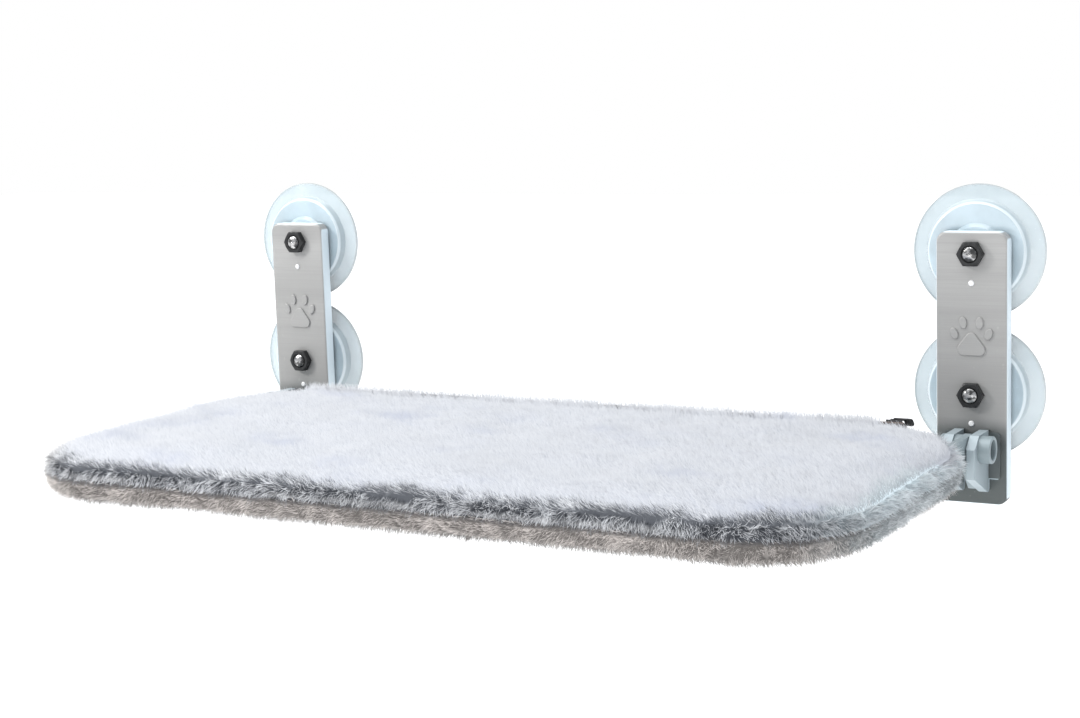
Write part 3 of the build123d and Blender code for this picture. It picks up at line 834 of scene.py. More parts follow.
@dataclass
class Cushion:
    """The stuffed cover that the pile grows from: a crowned slab with a sunk seam and a bed for the zip."""

    pile_depth: float = 3.0 * MM
    corner: float = 61.8 * MM
    edge: float = 7.0 * MM
    corner_steps: int = 14
    edge_steps: int = 4
    voxel: float = 5.0 * MM
    frames: int = 20
    pressure: float = 4.0
    largest_swell: float = 2.4 * MM
    wave: float = 1.3 * MM
    seam_sink: float = 2.2 * MM
    seam_reach: float = 4.0 * MM
    crown_fall: float = 3.0 * MM
    crown_reach: float = 42.0 * MM
    zip_reach: float = 7.0 * MM
    zip_below: float = 1.2 * MM
    zip_depth: float = 8.0 * MM
    zip_beyond: float = 2.0 * MM
    least_swell: float = 0.4 * MM
    lump_scales: tuple[float, float] = (22.0, 55.0)
    seam_drift: float = 1.2 * MM
    low: Vector = field(default_factory=lambda: Vector(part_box("plush_cover_lower")[0]))
    high: Vector = field(default_factory=lambda: Vector(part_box("plush_cover_upper")[1]))
    seam: float = field(default_factory=lambda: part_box("plush_cover_lower")[1][2])

    def slab(self) -> Object:
        """The rounded slab that the cushion is blown up from.

        Returns:
            The slab.
        """
        inset = Vector((self.pile_depth,) * 3)
        low, high = self.low + inset, self.high - inset
        size = high - low
        body = bmesh.new()
        bmesh.ops.create_cube(body, size=1.0)
        bmesh.ops.scale(body, vec=size, verts=body.verts)
        bmesh.ops.translate(body, vec=(low + high) / 2, verts=body.verts)
        uprights = [edge for edge in body.edges if abs(edge.verts[0].co.z - edge.verts[1].co.z) > size.z / 2]
        bevel_edges(body, uprights, self.corner - self.pile_depth, self.corner_steps)
        rims = [edge for edge in body.edges if len(set(round(face.normal.z) for face in edge.link_faces)) > 1]
        bevel_edges(body, rims, self.edge, self.edge_steps)
        return piece_from("cushion_blank", body)

    def remeshed(self, blank: Object) -> Object:
        """The slab as an even net of small faces.

        Args:
            blank: The rounded slab.

        Returns:
            The net.
        """
        net = blank.modifiers.new("net", "REMESH")
        net.mode = "VOXEL"
        net.voxel_size = self.voxel
        return settled(blank, "cushion_net")

    def blown(self, net: Object) -> np.ndarray:
        """Each point's place after the stuffing has pushed the cover out, by cloth simulation.

        Args:
            net: The slab's even net.

        Returns:
            The points' new places, as rows.
        """
        rest = points_of(net.data)
        cloth = net.modifiers.new("cover", "CLOTH")
        cloth.settings.use_pressure = True
        cloth.settings.uniform_pressure_force = self.pressure
        cloth.settings.effector_weights.gravity = 0.0
        scene = bpy.context.scene
        for number in range(1, self.frames + 1):
            scene.frame_set(number)
        depsgraph = bpy.context.evaluated_depsgraph_get()
        after = points_of(net.evaluated_get(depsgraph).to_mesh())
        net.modifiers.remove(cloth)
        scene.frame_set(1)
        return after

    def capped(self, rest: np.ndarray, after: np.ndarray, normals: np.ndarray) -> np.ndarray:
        """The blown points, held to a swell that waves along the cover as loose stuffing does.

        Args:
            rest: The points before the swelling.
            after: The same points after it.
            normals: The points' normals, as rows.

        Returns:
            The held points, as rows.
        """
        move = after - rest
        length = np.linalg.norm(move, axis=1)
        broad, fine = self.lump_scales
        lumps = ripple(rest * (1.0, 1.0, 0.5), broad) * 0.6 + ripple(rest, fine, (3.0, 1.0, 4.0)) * 0.4
        most = np.clip(self.largest_swell + lumps * self.wave * 2, self.least_swell, None)
        held = move * np.minimum(1.0, most / np.maximum(length, 1e-9))[:, None]
        return rest + held + normals * (lumps * self.wave * 0.5)[:, None]

    def from_edge(self, points: np.ndarray) -> np.ndarray:
        """How far in from the bed's rounded outline each point is, seen from above.

        Args:
            points: The points, as rows of X, Y and Z.

        Returns:
            The distances in metres, negative outside.
        """
        centre, half = (self.low + self.high) / 2, (self.high - self.low) / 2
        offset = np.abs(points[:, :2] - np.array(centre.xy)) - (np.array(half.xy) - self.corner)
        outside = np.linalg.norm(np.clip(offset, 0.0, None), axis=1)
        return self.corner - outside - np.minimum(np.max(offset, axis=1), 0.0)

    def crowned(self, points: np.ndarray) -> np.ndarray:
        """Lets the top fall away towards the front and the ends, as a stuffed pad does.

        Args:
            points: The points, as rows of X, Y and Z.

        Returns:
            The lowered points, as rows.
        """
        fall = (1 - ease(self.from_edge(points), 0.0, self.crown_reach)) * self.crown_fall
        front = 1 - ease(points[:, 1], self.high.y - self.crown_reach, self.high.y - self.crown_reach / 2)
        top = ease(points[:, 2], self.seam, self.high.z - self.pile_depth)
        lowered = points.copy()
        lowered[:, 2] -= fall * front * top
        return lowered

    def seamed(self, points: np.ndarray, normals: np.ndarray) -> np.ndarray:
        """Draws the sides in along the seam where the upper and lower covers meet.

        Args:
            points: The points, as rows of X, Y and Z.
            normals: The points' normals, as rows.

        Returns:
            The drawn-in points, as rows.
        """
        seam_z = self.seam + ripple(points * (1.0, 1.0, 0.0), 14.0, (7.0, 2.0, 0.0)) * self.seam_drift
        near = np.clip(1 - np.abs(points[:, 2] - seam_z) / self.seam_reach, 0, 1) ** 2
        side = 1 - ease(np.abs(normals[:, 2]), 0.5, 0.95)
        return points - normals * (near * side * self.seam_sink)[:, None]

    def zip_bed(self, points: np.ndarray) -> np.ndarray:
        """Lays the cover flat just under the zip's tapes.

        Args:
            points: The points, as rows of X, Y and Z.

        Returns:
            The points with the zip's bed pressed in, as rows.
        """
        across, height = from_zip(points)
        beside = np.abs(points[:, 0]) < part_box("zip_tapes")[1][0] + self.zip_beyond
        near = 1 - ease(np.abs(across), self.zip_reach * 0.7, self.zip_reach)
        shift = np.where(beside & (height > -self.zip_depth), near * (-self.zip_below - height), 0.0)
        return points + np.array((0.0, math.sqrt(0.5), math.sqrt(0.5))) * shift[:, None]

    def build(self) -> Object:
        """Blows up, caps and seams the cushion, and subdivides it once.

        Returns:
            The finished cushion.
        """
        net = self.remeshed(self.slab())
        rest, normals = points_of(net.data), points_of(net.data, "normal")
        after = self.blown(net)
        set_points(net.data, self.capped(rest, after, normals))
        normals = points_of(net.data, "normal")
        set_points(net.data, self.crowned(points_of(net.data)))
        set_points(net.data, self.seamed(points_of(net.data), normals))
        set_points(net.data, self.zip_bed(points_of(net.data)))
        finer = net.modifiers.new("finer", "SUBSURF")
        finer.levels = 1
        finer.render_levels = 1
        cushion = settled(net, "plush_cushion")
        cushion.data.polygons.foreach_set("use_smooth", [True] * len(cushion.data.polygons))
        return cushion


def bevel_edges(body: BMesh, edges: Iterable[BMEdge], width: float, steps: int) -> None:
    """Rounds edges of a bmesh off.

    Args:
        body: The bmesh.
        edges: The edges to round off.
        width: How far in from each edge the rounding starts.
        steps: The number of faces across the rounding.
    """
    bmesh.ops.bevel(
        body, geom=list(edges), offset=width, segments=steps, profile=0.5, affect="EDGES", material=-1
    )


# ---------------------------------------------------------------- the plush pile
@dataclass
class Strand:
    """One lock of pile: a bent three-sided spike that narrows to its tip."""

    name: str
    width: float
    bend: float
    rises: tuple[Triple, ...] = ((0.5, 0.7, 0.28), (1.0, 0.0, 1.0))

    def build(self) -> Object:
        """Draws a small ring up to the tip, and marks how far along the lock each point is.

        Returns:
            The lock.
        """
        body = bmesh.new()
        bmesh.ops.create_circle(body, segments=3, radius=self.width)
        ring = list(body.edges)
        last, last_bend = 0.0, 0.0
        for part, narrow, bent in self.rises:
            grown = bmesh.ops.extrude_edge_only(body, edges=ring)["geom"]
            tips = [item for item in grown if isinstance(item, BMVert)]
            ring = [item for item in grown if isinstance(item, BMEdge)]
            step = Vector(((bent - last_bend) * self.bend, 0, part - last))
            bmesh.ops.translate(body, vec=step, verts=tips)
            centre = sum((vertex.co for vertex in tips), Vector()) / len(tips)
            for vertex in tips:
                vertex.co = centre + (vertex.co - centre) * narrow
            last, last_bend = part, bent
        bmesh.ops.remove_doubles(body, verts=body.verts, dist=SAME_PLACE)
        bmesh.ops.recalc_face_normals(body, faces=body.faces)
        strand = piece_from(self.name, body)
        store(strand.data, "along", points_of(strand.data)[:, 2])
        return strand


class Lock(Enum):
    """The two kinds of lock that the pile is made of."""

    CURLED = "curled"
    STRAIGHT = "straight"


CURLS = (0.15, 0.35, 0.55)
SPIKE = ((1.0, 0.0, 1.0),)
CURLED_WIDTH = 0.034
STRAIGHT_WIDTH = 0.04
SHORTEST, LONGEST = 0.7, 1.2


@dataclass(frozen=True)
class Lie:
    """How a patch of pile lies: its length, closeness, lift off the cloth and the way it is combed."""

    length: float
    per_square_metre: float
    lift: float
    comb: Triple
    tuft: float
    swirl: float
    tuft_scale: float = 120.0
    swirl_scale: float = 16.0
    seed: int = 1
    lock: Lock = Lock.CURLED
    softness: float = 0.7


HAIR = Lock.STRAIGHT
CROWN_LIE = Lie(4.6 * MM, 1_250_000, 0.3, (-0.34, 0.15, 0.0), 0.24, 0.3, seed=11, lock=HAIR, softness=0.97)
SIDE_LIE = Lie(5.8 * MM, 1_800_000, 0.5, (0.1, 0.0, -0.4), 1.5, 1.0, 130.0, seed=23)
LOWER_LIE = Lie(3.8 * MM, 1_800_000, 0.42, (-0.15, 0.0, 0.0), 1.3, 1.0, 130.0, seed=37)
UNDER_LIE = Lie(4.0 * MM, 450_000, 0.35, (0.2, -0.2, 0.0), 0.9, 0.9, seed=41, lock=HAIR)
FRONT_LIE = Lie(6.2 * MM, 2_400_000, 0.4, (-0.15, -0.05, 0.85), 0.5, 0.3, seed=53, lock=HAIR, softness=0.97)
BACK_LIE = Lie(6.5 * MM, 1_700_000, 0.9, (0.15, 0.15, 0.2), 0.35, 0.2, seed=59, lock=HAIR, softness=0.97)


@dataclass
class PilePatch:
    """Pile over one part of the cushion."""

    name: str
    lie: Lie
    finish: Finish
    slot: str
    chosen: Choice
    whiteness: Choice
    airy: bool = False

    def ground(self, cushion: Object) -> Object:
        """The faces of the cushion that this patch covers, with the pile's facts on their points.

        Args:
            cushion: The cushion that the pile grows from.

        Returns:
            The ground, as a piece of its own.
        """
        body = bmesh.new()
        body.from_mesh(cushion.data)
        centres = np.array([face.calc_center_median() for face in body.faces])
        normals = np.array([face.normal for face in body.faces])
        keep = self.chosen(centres, normals)
        bare = [face for face, good in zip(body.faces[:], keep) if not good]
        bmesh.ops.delete(body, geom=bare, context="FACES")
        ground = piece_from(f"{self.name}_ground", body)
        store(ground.data, "crown", self.whiteness(points_of(ground.data), points_of(ground.data, "normal")))
        return ground

    def growth(self, strands: Collection) -> NodeTree:
        """The node group that sets the strands on the ground, leans them and makes them one mesh.

        Args:
            strands: The locks that are planted.

        Returns:
            The node group.
        """
        tree = bpy.data.node_groups.new(f"{self.name}_growth", "GeometryNodeTree")
        for way in ("INPUT", "OUTPUT"):
            tree.interface.new_socket("Geometry", in_out=way, socket_type="NodeSocketGeometry")
        graph = Graph(tree)
        lie = self.lie
        start = graph.out(graph.node("NodeGroupInput"))
        scatter = graph.node(
            "GeometryNodeDistributePointsOnFaces",
            {"distribute_method": "RANDOM"},
            {"Mesh": start, "Density": lie.per_square_metre, "Seed": lie.seed},
        )
        place = graph.out(graph.node("GeometryNodeInputPosition"))
        normal = graph.out(scatter, "Normal")
        half = (0.5, 0.5, 0.5)
        tuft = graph.vector("SUBTRACT", graph.noise(place, lie.tuft_scale, 2.0, "Color"), half)
        swirl = graph.vector("SUBTRACT", graph.noise(place, lie.swirl_scale, 2.0, "Color"), half)
        lean = graph.vector("ADD", graph.vector("SCALE", normal, scale=lie.lift), lie.comb)
        lean = graph.vector("ADD", lean, graph.vector("SCALE", tuft, scale=lie.tuft))
        lean = graph.vector("ADD", lean, graph.vector("SCALE", swirl, scale=lie.swirl))
        turn = graph.node("FunctionNodeAlignRotationToVector", {"axis": "Z"}, {"Vector": lean})
        spin = graph.node("ShaderNodeCombineXYZ", inputs={2: graph.random(0.0, math.tau, 0)})
        both = {0: graph.out(turn), 1: graph.out(spin)}
        turned = graph.node("FunctionNodeRotateRotation", {"rotation_space": "LOCAL"}, both)
        grown = graph.random(lie.length * SHORTEST, lie.length * LONGEST, lie.seed + 7)
        which = graph.node(
            "GeometryNodeCollectionInfo",
            inputs={"Collection": strands, "Separate Children": True, "Reset Children": True},
        )
        points = graph.kept(graph.out(scatter, "Points"), "facing", normal, "FLOAT_VECTOR", "POINT")
        planted = graph.node(
            "GeometryNodeInstanceOnPoints",
            inputs={
                "Points": points,
                "Instance": graph.out(which),
                "Pick Instance": True,
                "Rotation": graph.out(turned),
                "Scale": grown,
            },
        )
        tone = graph.random(0.0, 1.0, lie.seed + 13)
        toned = graph.kept(graph.out(planted), "strand", tone, "FLOAT", "INSTANCE")
        whole = graph.node("GeometryNodeRealizeInstances", inputs={"Geometry": toned})
        graph.node("NodeGroupOutput", inputs={0: graph.out(whole)})
        return tree

    def grow(self, cushion: Object, strands: Collection) -> Object:
        """Plants the patch and makes it one mesh, lit as the soft surface that it covers.

        Args:
            cushion: The cushion that the pile grows from.
            strands: The locks that are planted.

        Returns:
            The finished patch.
        """
        ground = self.ground(cushion)
        planting = ground.modifiers.new("pile", "NODES")
        planting.node_group = self.growth(strands)
        patch = settled(ground, self.name)
        mesh = patch.data
        facing = np.empty(len(mesh.vertices) * 3, dtype=np.float32)
        mesh.attributes["facing"].data.foreach_get("vector", facing)
        softness = self.lie.softness
        soft = facing.reshape(-1, 3) * softness + points_of(mesh, "normal") * (1 - softness)
        soft /= np.maximum(np.linalg.norm(soft, axis=1), 1e-6)[:, None]
        mesh.attributes.remove(mesh.attributes["facing"])
        mesh.polygons.foreach_set("use_smooth", [True] * len(mesh.polygons))
        mesh.normals_split_custom_set_from_vertices(soft.tolist())
        self.finish.dress(patch)
        patch.visible_shadow = not self.airy
        patch.visible_diffuse = not self.airy
        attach(patch, "bed")
        mesh.calc_loop_triangles()
        log.info("pile %s: %d triangles", self.name, len(mesh.loop_triangles))
        return patch


@dataclass
class PlushBed:
    """The bed's cushion and the pile all over it."""

    cushion: Cushion = field(default_factory=Cushion)
    zip_clear: float = 5.0 * MM
    fringe_start: float = 4.8 * MM
    fringe_stop: float = 8.5 * MM
    fringe_end: float = 184 * MM
    grey_margin: float = 15.0 * MM
    rear_start: float = 120 * MM
    rear_stop: float = 30 * MM
    top_facing: float = 0.8
    under_facing: float = -0.75
    above_seam: float = 0.8 * MM
    below_seam: float = 1.2 * MM

    def off_zip(self, centres: np.ndarray) -> np.ndarray:
        """Which faces aren't under the zip.

        Args:
            centres: The faces' middles, as rows of X, Y and Z.

        Returns:
            True for each face that is clear of the zip.
        """
        across, outwards = from_zip(centres)
        beside = np.abs(centres[:, 0]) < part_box("zip_tapes")[1][0]
        return ~((np.abs(across) < self.zip_clear) & (outwards > -self.cushion.zip_depth) & beside)

    def whiteness(self, points: np.ndarray, normals: np.ndarray) -> np.ndarray:
        """1 where the pile is the crown's white, 0 where it is the sides' grey.

        Args:
            points: The points, as rows of X, Y and Z.
            normals: The points' normals, as rows.

        Returns:
            A number from 0 to 1 for each point.
        """
        edge = self.cushion.high.y
        rear = ease(points[:, 1], edge - self.rear_start, edge - self.rear_stop)
        margin = self.grey_margin * (1 - 0.85 * rear)
        ragged = ripple(points * (1.0, 1.0, 0.0), 42.0) * 0.32 + ripple(points * (1.0, 1.0, 0.0), 120.0) * 0.2
        inside = ease(self.cushion.from_edge(points) / margin + ragged, 0.45, 1.45)
        return inside * ease(normals[:, 2], 0.45, self.top_facing)

    def grey(self, points: np.ndarray, normals: np.ndarray) -> np.ndarray:
        """The whiteness of pile that is grey all over: 0."""
        return np.zeros(len(points))

    def crown(self, low_x: float, high_x: float) -> Choice:
        """Chooses the cushion's top between two X values.

        Args:
            low_x: The lowest X of the faces' middles.
            high_x: The X that they stay below.

        Returns:
            The choice of faces.
        """
        return lambda c, n: (
            (n[:, 2] > self.top_facing) & (c[:, 0] >= low_x) & (c[:, 0] < high_x) & self.off_zip(c)
        )

    def half(self, centres: np.ndarray, front: bool) -> np.ndarray:
        """Which faces are on the room's half of the bed, or on the window's."""
        return (centres[:, 1] < (self.cushion.low.y + self.cushion.high.y) / 2) == front

    def upper(self, front: bool) -> Choice:
        """Chooses one half of the side above the seam.

        Args:
            front: True for the room's half, False for the window's.

        Returns:
            The choice of faces.
        """
        lowest = self.cushion.seam + self.above_seam
        return lambda c, n: (
            (n[:, 2] <= self.top_facing) & (c[:, 2] > lowest) & self.half(c, front) & self.off_zip(c)
        )

    def lower(self, front: bool) -> Choice:
        """Chooses one half of the side below the seam."""
        highest = self.cushion.seam - self.below_seam
        return lambda c, n: (c[:, 2] < highest) & (n[:, 2] > self.under_facing) & self.half(c, front)

    def under(self, centres: np.ndarray, normals: np.ndarray) -> np.ndarray:
        """Which faces look down."""
        return normals[:, 2] <= self.under_facing

    def fringe(self, side: int, end: float) -> Choice:
        """Chooses a strip along the zip's front lip, side 1, or its back lip, side -1, short of an X.

        Args:
            side: 1 for the front lip, -1 for the back lip.
            end: The X that the strip ends short of.

        Returns:
            The choice of faces.
        """

        def chosen(centres: np.ndarray, normals: np.ndarray) -> np.ndarray:
            """Faces just beside the zip.

            Args:
                centres: The faces' middles, as rows of X, Y and Z.
                normals: The faces' normals, as rows.

            Returns:
                True for each face in the strip.
            """
            across = from_zip(centres)[0] * side
            near = (across > self.fringe_start) & (across < self.fringe_stop)
            along = (centres[:, 0] < end) & (centres[:, 0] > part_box("zip_tapes")[0][0])
            return near & along & (normals[:, 1] + normals[:, 2] > 0.6)

        return chosen

    def patches(self) -> list[PilePatch]:
        """The patches of pile: crown, sides above and below the seam, the zip's two lips, and underneath.

        Returns:
            The patches, in the order in which they grow.
        """
        third = self.cushion.high.x / 3
        thirds = (("left", -FAR, -third), ("middle", -third, third), ("right", third, FAR))
        white, grey = self.whiteness, self.grey
        front_lip, back_lip = self.fringe(1, self.fringe_end), self.fringe(-1, FAR)
        made = [
            PilePatch(f"plush_crown_{n}", CROWN_LIE, CROWN_PILE, WHITE_SLOT, self.crown(a, b), white, True)
            for n, a, b in thirds
        ]
        made += [
            PilePatch("plush_side_front", SIDE_LIE, UPPER_PILE, WHITE_SLOT, self.upper(True), white),
            PilePatch("plush_side_rear", SIDE_LIE, UPPER_PILE, WHITE_SLOT, self.upper(False), white),
            PilePatch("plush_zip_front", FRONT_LIE, UPPER_PILE, WHITE_SLOT, front_lip, white, True),
            PilePatch("plush_zip_back", BACK_LIE, UPPER_PILE, WHITE_SLOT, back_lip, white, True),
            PilePatch("plush_lower_front", LOWER_LIE, LOWER_PILE, LOWER_SLOT, self.lower(True), grey),
            PilePatch("plush_lower_rear", LOWER_LIE, LOWER_PILE, LOWER_SLOT, self.lower(False), grey),
            PilePatch("plush_under", UNDER_LIE, UNDER_PILE, LOWER_SLOT, self.under, grey),
        ]
        return made

    def build(self) -> None:
        """Makes the cushion, dresses it and grows the pile."""
        cushion = self.cushion.build()
        points, normals = points_of(cushion.data), points_of(cushion.data, "normal")
        store(cushion.data, "along", np.full(len(points), 0.25))
        store(cushion.data, "strand", np.full(len(points), 0.3))
        store(cushion.data, "crown", self.whiteness(points, normals))
        UPPER_PILE.dress(cushion)
        for finish in (LOWER_PILE, UNDER_PILE):
            cushion.data.materials.append(finish.material())
        seam = self.cushion.seam
        faces = cushion.data.polygons
        places = [(face.center.z < seam) * (1 + (face.normal.z <= self.under_facing)) for face in faces]
        faces.foreach_set("material_index", places)
        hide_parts("plush_cover_upper", "plush_cover_lower", "foam_pad")
        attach(cushion, "bed")
        log.info("plush cushion: %d faces", len(cushion.data.polygons))
        locks = {
            Lock.CURLED: self.bunch(
                "curled", [Strand(f"curl_{n}", CURLED_WIDTH, bend) for n, bend in enumerate(CURLS)]
            ),
            Lock.STRAIGHT: self.bunch(
                "straight", [Strand(f"hair_{n}", STRAIGHT_WIDTH, bend, SPIKE) for n, bend in enumerate(CURLS)]
            ),
        }
        for patch in self.patches():
            patch.grow(cushion, locks[patch.lie.lock])
        for bunch in locks.values():
            for lock in list(bunch.objects):
                bpy.data.objects.remove(lock)
            bpy.data.collections.remove(bunch)

    def bunch(self, name: str, strands: list[Strand]) -> Collection:
        """A collection of locks, kept out of the scene.

        Args:
            name: The collection's name.
            strands: The locks to draw.

        Returns:
            The collection.
        """
        made = bpy.data.collections.new(name)
        for strand in strands:
            lock = strand.build()
            bpy.context.scene.collection.objects.unlink(lock)
            made.objects.link(lock)
        return made


# ---------------------------------------------------------------- the sling and the zip
@dataclass
class Sling:
    """The cloth stretched between the frame's rails, folded round them."""

    thickness: float = 0.6 * MM
    above_axis: float = 1.4 * MM
    half_sleeve: float = 37 * MM
    sleeve_gap: float = 0.5
    sag: float = 0.4 * MM
    steps: int = 24

    def build(self) -> Object:
        """Lays the sheet across the frame and bends its sleeves round the rails.

        Returns:
            The sling's cloth.
        """
        low, high = corners("support_sling")
        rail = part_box("frame_half_right")
        tube = (rail[1][2] - rail[0][2]) / 2
        axis_z = (rail[1][2] + rail[0][2]) / 2
        rail_x = rail[1][0] - tube
        sleeve = high.x - rail_x
        sheet_z = axis_z + self.above_axis
        bend = math.asin(min(1.0, (sheet_z - axis_z) / sleeve))
        body = bmesh.new()
        spread = rail_x - sleeve * math.cos(bend)
        bmesh.ops.create_grid(body, x_segments=self.steps * 2, y_segments=self.steps, size=0.5)
        bmesh.ops.scale(body, vec=(2 * spread, high.y - low.y, 1.0), verts=body.verts)
        bmesh.ops.translate(body, vec=(0.0, (high.y + low.y) / 2, sheet_z), verts=body.verts)
        for vertex in body.verts:
            across = 1 - (vertex.co.x / spread) ** 2
            vertex.co.z -= self.sag * across
        centre_y = (high.y + low.y) / 2
        for side in Side:
            rim = [
                edge
                for edge in body.edges
                if all(abs(v.co.x - side.value * spread) < SAME_PLACE / 10 for v in edge.verts)
                and all(abs(v.co.y - centre_y) < self.half_sleeve for v in edge.verts)
            ]
            bmesh.ops.spin(
                body,
                geom=rim,
                cent=(side.value * rail_x, 0.0, axis_z),
                axis=(0.0, 1.0, 0.0),
                angle=side.value * (math.tau - self.sleeve_gap),
                steps=self.steps,
            )
        bmesh.ops.remove_doubles(body, verts=body.verts, dist=SAME_PLACE / 10)
        bmesh.ops.recalc_face_normals(body, faces=body.faces)
        sling = piece_from("support_cloth", body)
        wall = sling.modifiers.new("cloth", "SOLIDIFY")
        wall.thickness = self.thickness
        wall.offset = 0.0
        SLING_CLOTH.dress(sling)
        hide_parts("support_sling")
        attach(sling, "bed")
        log.info("support cloth laid")
        return sling


@dataclass
class ZipTeeth:
    """The zip's two rows of teeth, meshed along the tapes."""

    pitch: float = 1.6 * MM
    tooth: Triple = (0.75 * MM, 1.5 * MM, 1.5 * MM)
    stagger: float = 0.25 * MM
    rounding: float = 0.22 * MM

    def build(self) -> Object:
        """One rounded tooth, repeated along both rows.

        Returns:
            The teeth.
        """
        low, high = corners("zip_coil")
        centre = (low + high) / 2
        tilt = Matrix.Rotation(-math.pi / 4, 4, "X")
        body = bmesh.new()
        count = int((high.x - low.x) / self.pitch)
        for number in range(count):
            row = 1 if number % 2 else -1
            made = bmesh.ops.create_cube(body, size=1.0)["verts"]
            bmesh.ops.scale(body, vec=self.tooth, verts=made)
            bmesh.ops.translate(body, vec=(0.0, row * self.stagger, 0.0), verts=made)
            bmesh.ops.transform(body, matrix=tilt, verts=made)
            place = Vector((low.x + (number + 0.5) * self.pitch, centre.y, centre.z))
            bmesh.ops.translate(body, vec=place, verts=made)
        bevel_edges(body, body.edges, self.rounding, 1)
        teeth = piece_from("zip_teeth", body)
        ZIP_TEETH.dress(teeth)
        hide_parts("zip_coil")
        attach(teeth, "bed")
        log.info("zip teeth: %d", count)
        return teeth


# ---------------------------------------------------------------- metalwork and cups, from the CAD
@dataclass
class Metalwork:
    """The CAD nodes that keep their shape and get their finish here."""

    finishes: dict[str, Finish] = field(
        default_factory=lambda: {
            "wall_plate": PLATE_PAINT,
            "hinge_ear": EAR_PAINT,
            "hinge_arm": HINGE_PAINT,
            "pivot_tube": HINGE_PAINT,
            "frame_half": FRAME_PAINT,
            "suction_cup": CLEAR_VINYL,
            "cup_studs": STUD_CHROME,
            "hex_nuts": NUT_BLACK,
            "plate_pegs": PEG_WHITE,
            "joint_sleeves": SLEEVE_STEEL,
            "joint_screws": SCREW_STEEL,
            "zip_tapes": ZIP_TAPE,
            "zip_stops": ZIP_TEETH,
            "zip_slider": ZIP_BLACK,
            "zip_pull": ZIP_BLACK,
        }
    )

    def build(self) -> None:
        """Dresses every CAD node whose name starts with one of the finishes' names."""
        for name, node in frame["nodes"].items():
            for start, finish in self.finishes.items():
                if name.startswith(start):
                    finish.dress(node)
                    log.info("%s wears %s", name, finish.name)


# ---------------------------------------------------------------- the studio
@dataclass(frozen=True)
class Lamp:
    """A square lamp: where it hangs, its size in metres, its power in watts and its colour."""

    name: str
    place: Triple
    size: float
    power: float
    colour: Triple


LAMPS = (
    Lamp("window", (0.9, 0.7, 0.7), 1.2, 5.0, (0.86, 0.93, 1.0)),
    Lamp("room", (-1.1, -0.9, 0.75), 0.35, 16.0, (1.0, 0.98, 0.96)),
    Lamp("bounce", (0.1, -1.1, -0.42), 0.9, 4.5, (1.0, 0.97, 0.95)),
)


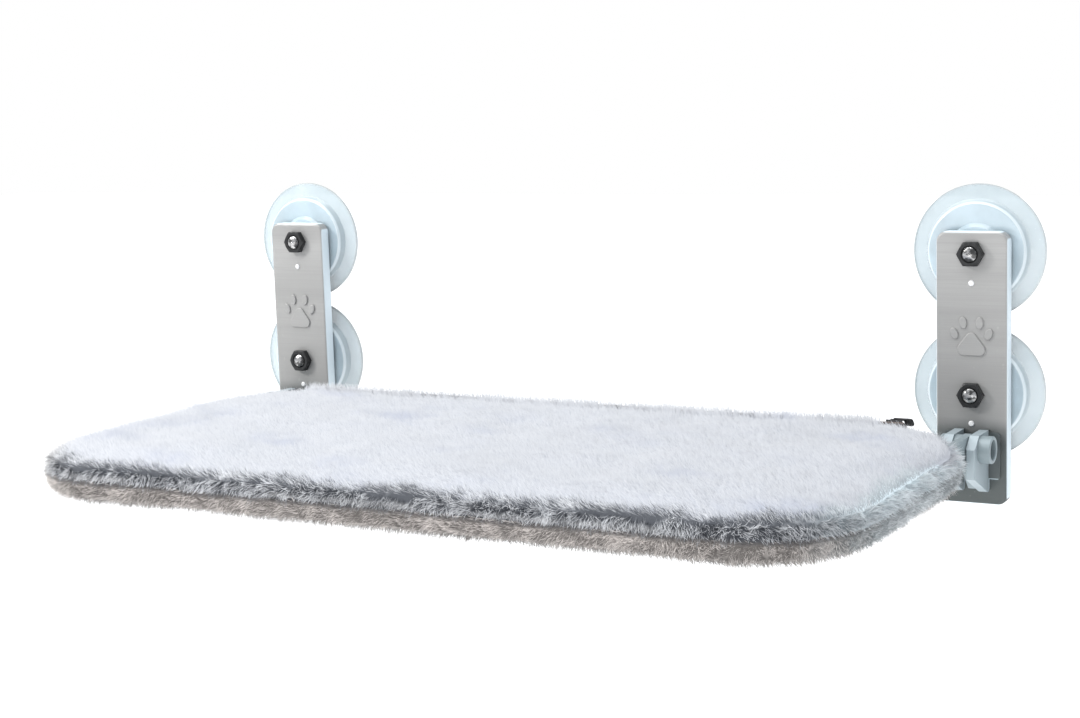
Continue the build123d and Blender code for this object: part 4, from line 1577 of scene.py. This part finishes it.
@dataclass
class Studio:
    """Floor, lights and camera."""

    floor_z: float = -0.45
    floor_size: float = 14.0
    yaw: float = 0.5062
    pitch: float = -0.1466
    roll: float = -0.0324
    camera_place: Triple = (0.54185, -1.07593, 0.14847)
    lens: float = 66.71
    sensor: float = 36.0
    sky_colour: Triple = (0.93, 0.96, 1.0)
    sky_strength: float = 0.6
    sun_strength: float = 2.45
    sun_spread: float = 0.9
    sun_turn: Triple = (math.radians(13), math.radians(-8), 0.0)

    def camera(self) -> None:
        """The camera, turned by its yaw, pitch and roll."""
        forward = Vector(
            (
                -math.sin(self.yaw) * math.cos(self.pitch),
                math.cos(self.yaw) * math.cos(self.pitch),
                math.sin(self.pitch),
            )
        )
        level = Vector((math.cos(self.yaw), math.sin(self.yaw), 0.0))
        up = level.cross(forward)
        right = level * math.cos(self.roll) + up * math.sin(self.roll)
        upright = up * math.cos(self.roll) - level * math.sin(self.roll)
        data = bpy.data.cameras.new("studio_camera")
        data.lens = self.lens
        data.sensor_width = self.sensor
        data.clip_end = 60.0
        camera = link("studio_camera", data)
        turn = Matrix((right, upright, -forward)).transposed().to_4x4()
        camera.matrix_world = Matrix.Translation(self.camera_place) @ turn
        bpy.context.scene.camera = camera

    def floor(self) -> None:
        """A wide pale floor, well below the perch."""
        body = bmesh.new()
        bmesh.ops.create_grid(body, x_segments=1, y_segments=1, size=self.floor_size / 2)
        bmesh.ops.translate(body, vec=(0.0, 0.0, self.floor_z), verts=body.verts)
        floor = piece_from("floor", body)
        FLOOR_WHITE.dress(floor)

    def light(self, lamp: Lamp) -> None:
        """Hangs a soft square lamp that looks at the bed.

        Args:
            lamp: The lamp to hang.
        """
        data = bpy.data.lights.new(lamp.name, "AREA")
        data.size = lamp.size
        data.energy = lamp.power
        data.color = lamp.colour
        hung = link(lamp.name, data)
        hung.location = lamp.place
        aim = middle("plush_cover_upper") - Vector(lamp.place)
        hung.rotation_euler = aim.to_track_quat("-Z", "Y").to_euler()

    def sun(self) -> None:
        """A very soft sun, which lights the floor and the bed evenly."""
        data = bpy.data.lights.new("key_sun", "SUN")
        data.energy = self.sun_strength
        data.angle = self.sun_spread
        link("key_sun", data).rotation_euler = self.sun_turn

    def sky(self) -> None:
        """Even white light from all round, seen as white by the camera."""
        world = bpy.data.worlds.new("studio_sky")
        world.use_nodes = True
        graph = Graph(world.node_tree)
        sight = graph.out(graph.node("ShaderNodeLightPath"), "Is Camera Ray")
        glow = graph.node(
            "ShaderNodeBackground", inputs={"Color": rgba(self.sky_colour), "Strength": self.sky_strength}
        )
        seen = graph.node("ShaderNodeBackground", inputs={"Color": rgba((1.0, 1.0, 1.0)), "Strength": 1.0})
        both = graph.node("ShaderNodeMixShader", inputs={0: sight, 1: graph.out(glow), 2: graph.out(seen)})
        graph.node("ShaderNodeOutputWorld", inputs={"Surface": graph.out(both)})
        bpy.context.scene.world = world

    def build(self) -> None:
        """Sets the whole studio up."""
        self.camera()
        self.floor()
        self.sky()
        self.sun()
        for lamp in LAMPS:
            self.light(lamp)
        bpy.context.scene.view_settings.view_transform = "Standard"


def main() -> None:
    """Builds the perch's looks, piece by piece, and the studio round it."""
    logging.basicConfig(level=logging.INFO, format="%(name)s: %(message)s")
    Studio().build()
    Metalwork().build()
    PlushBed().build()
    Sling().build()
    ZipTeeth().build()


if __name__ == "__main__":
    main()
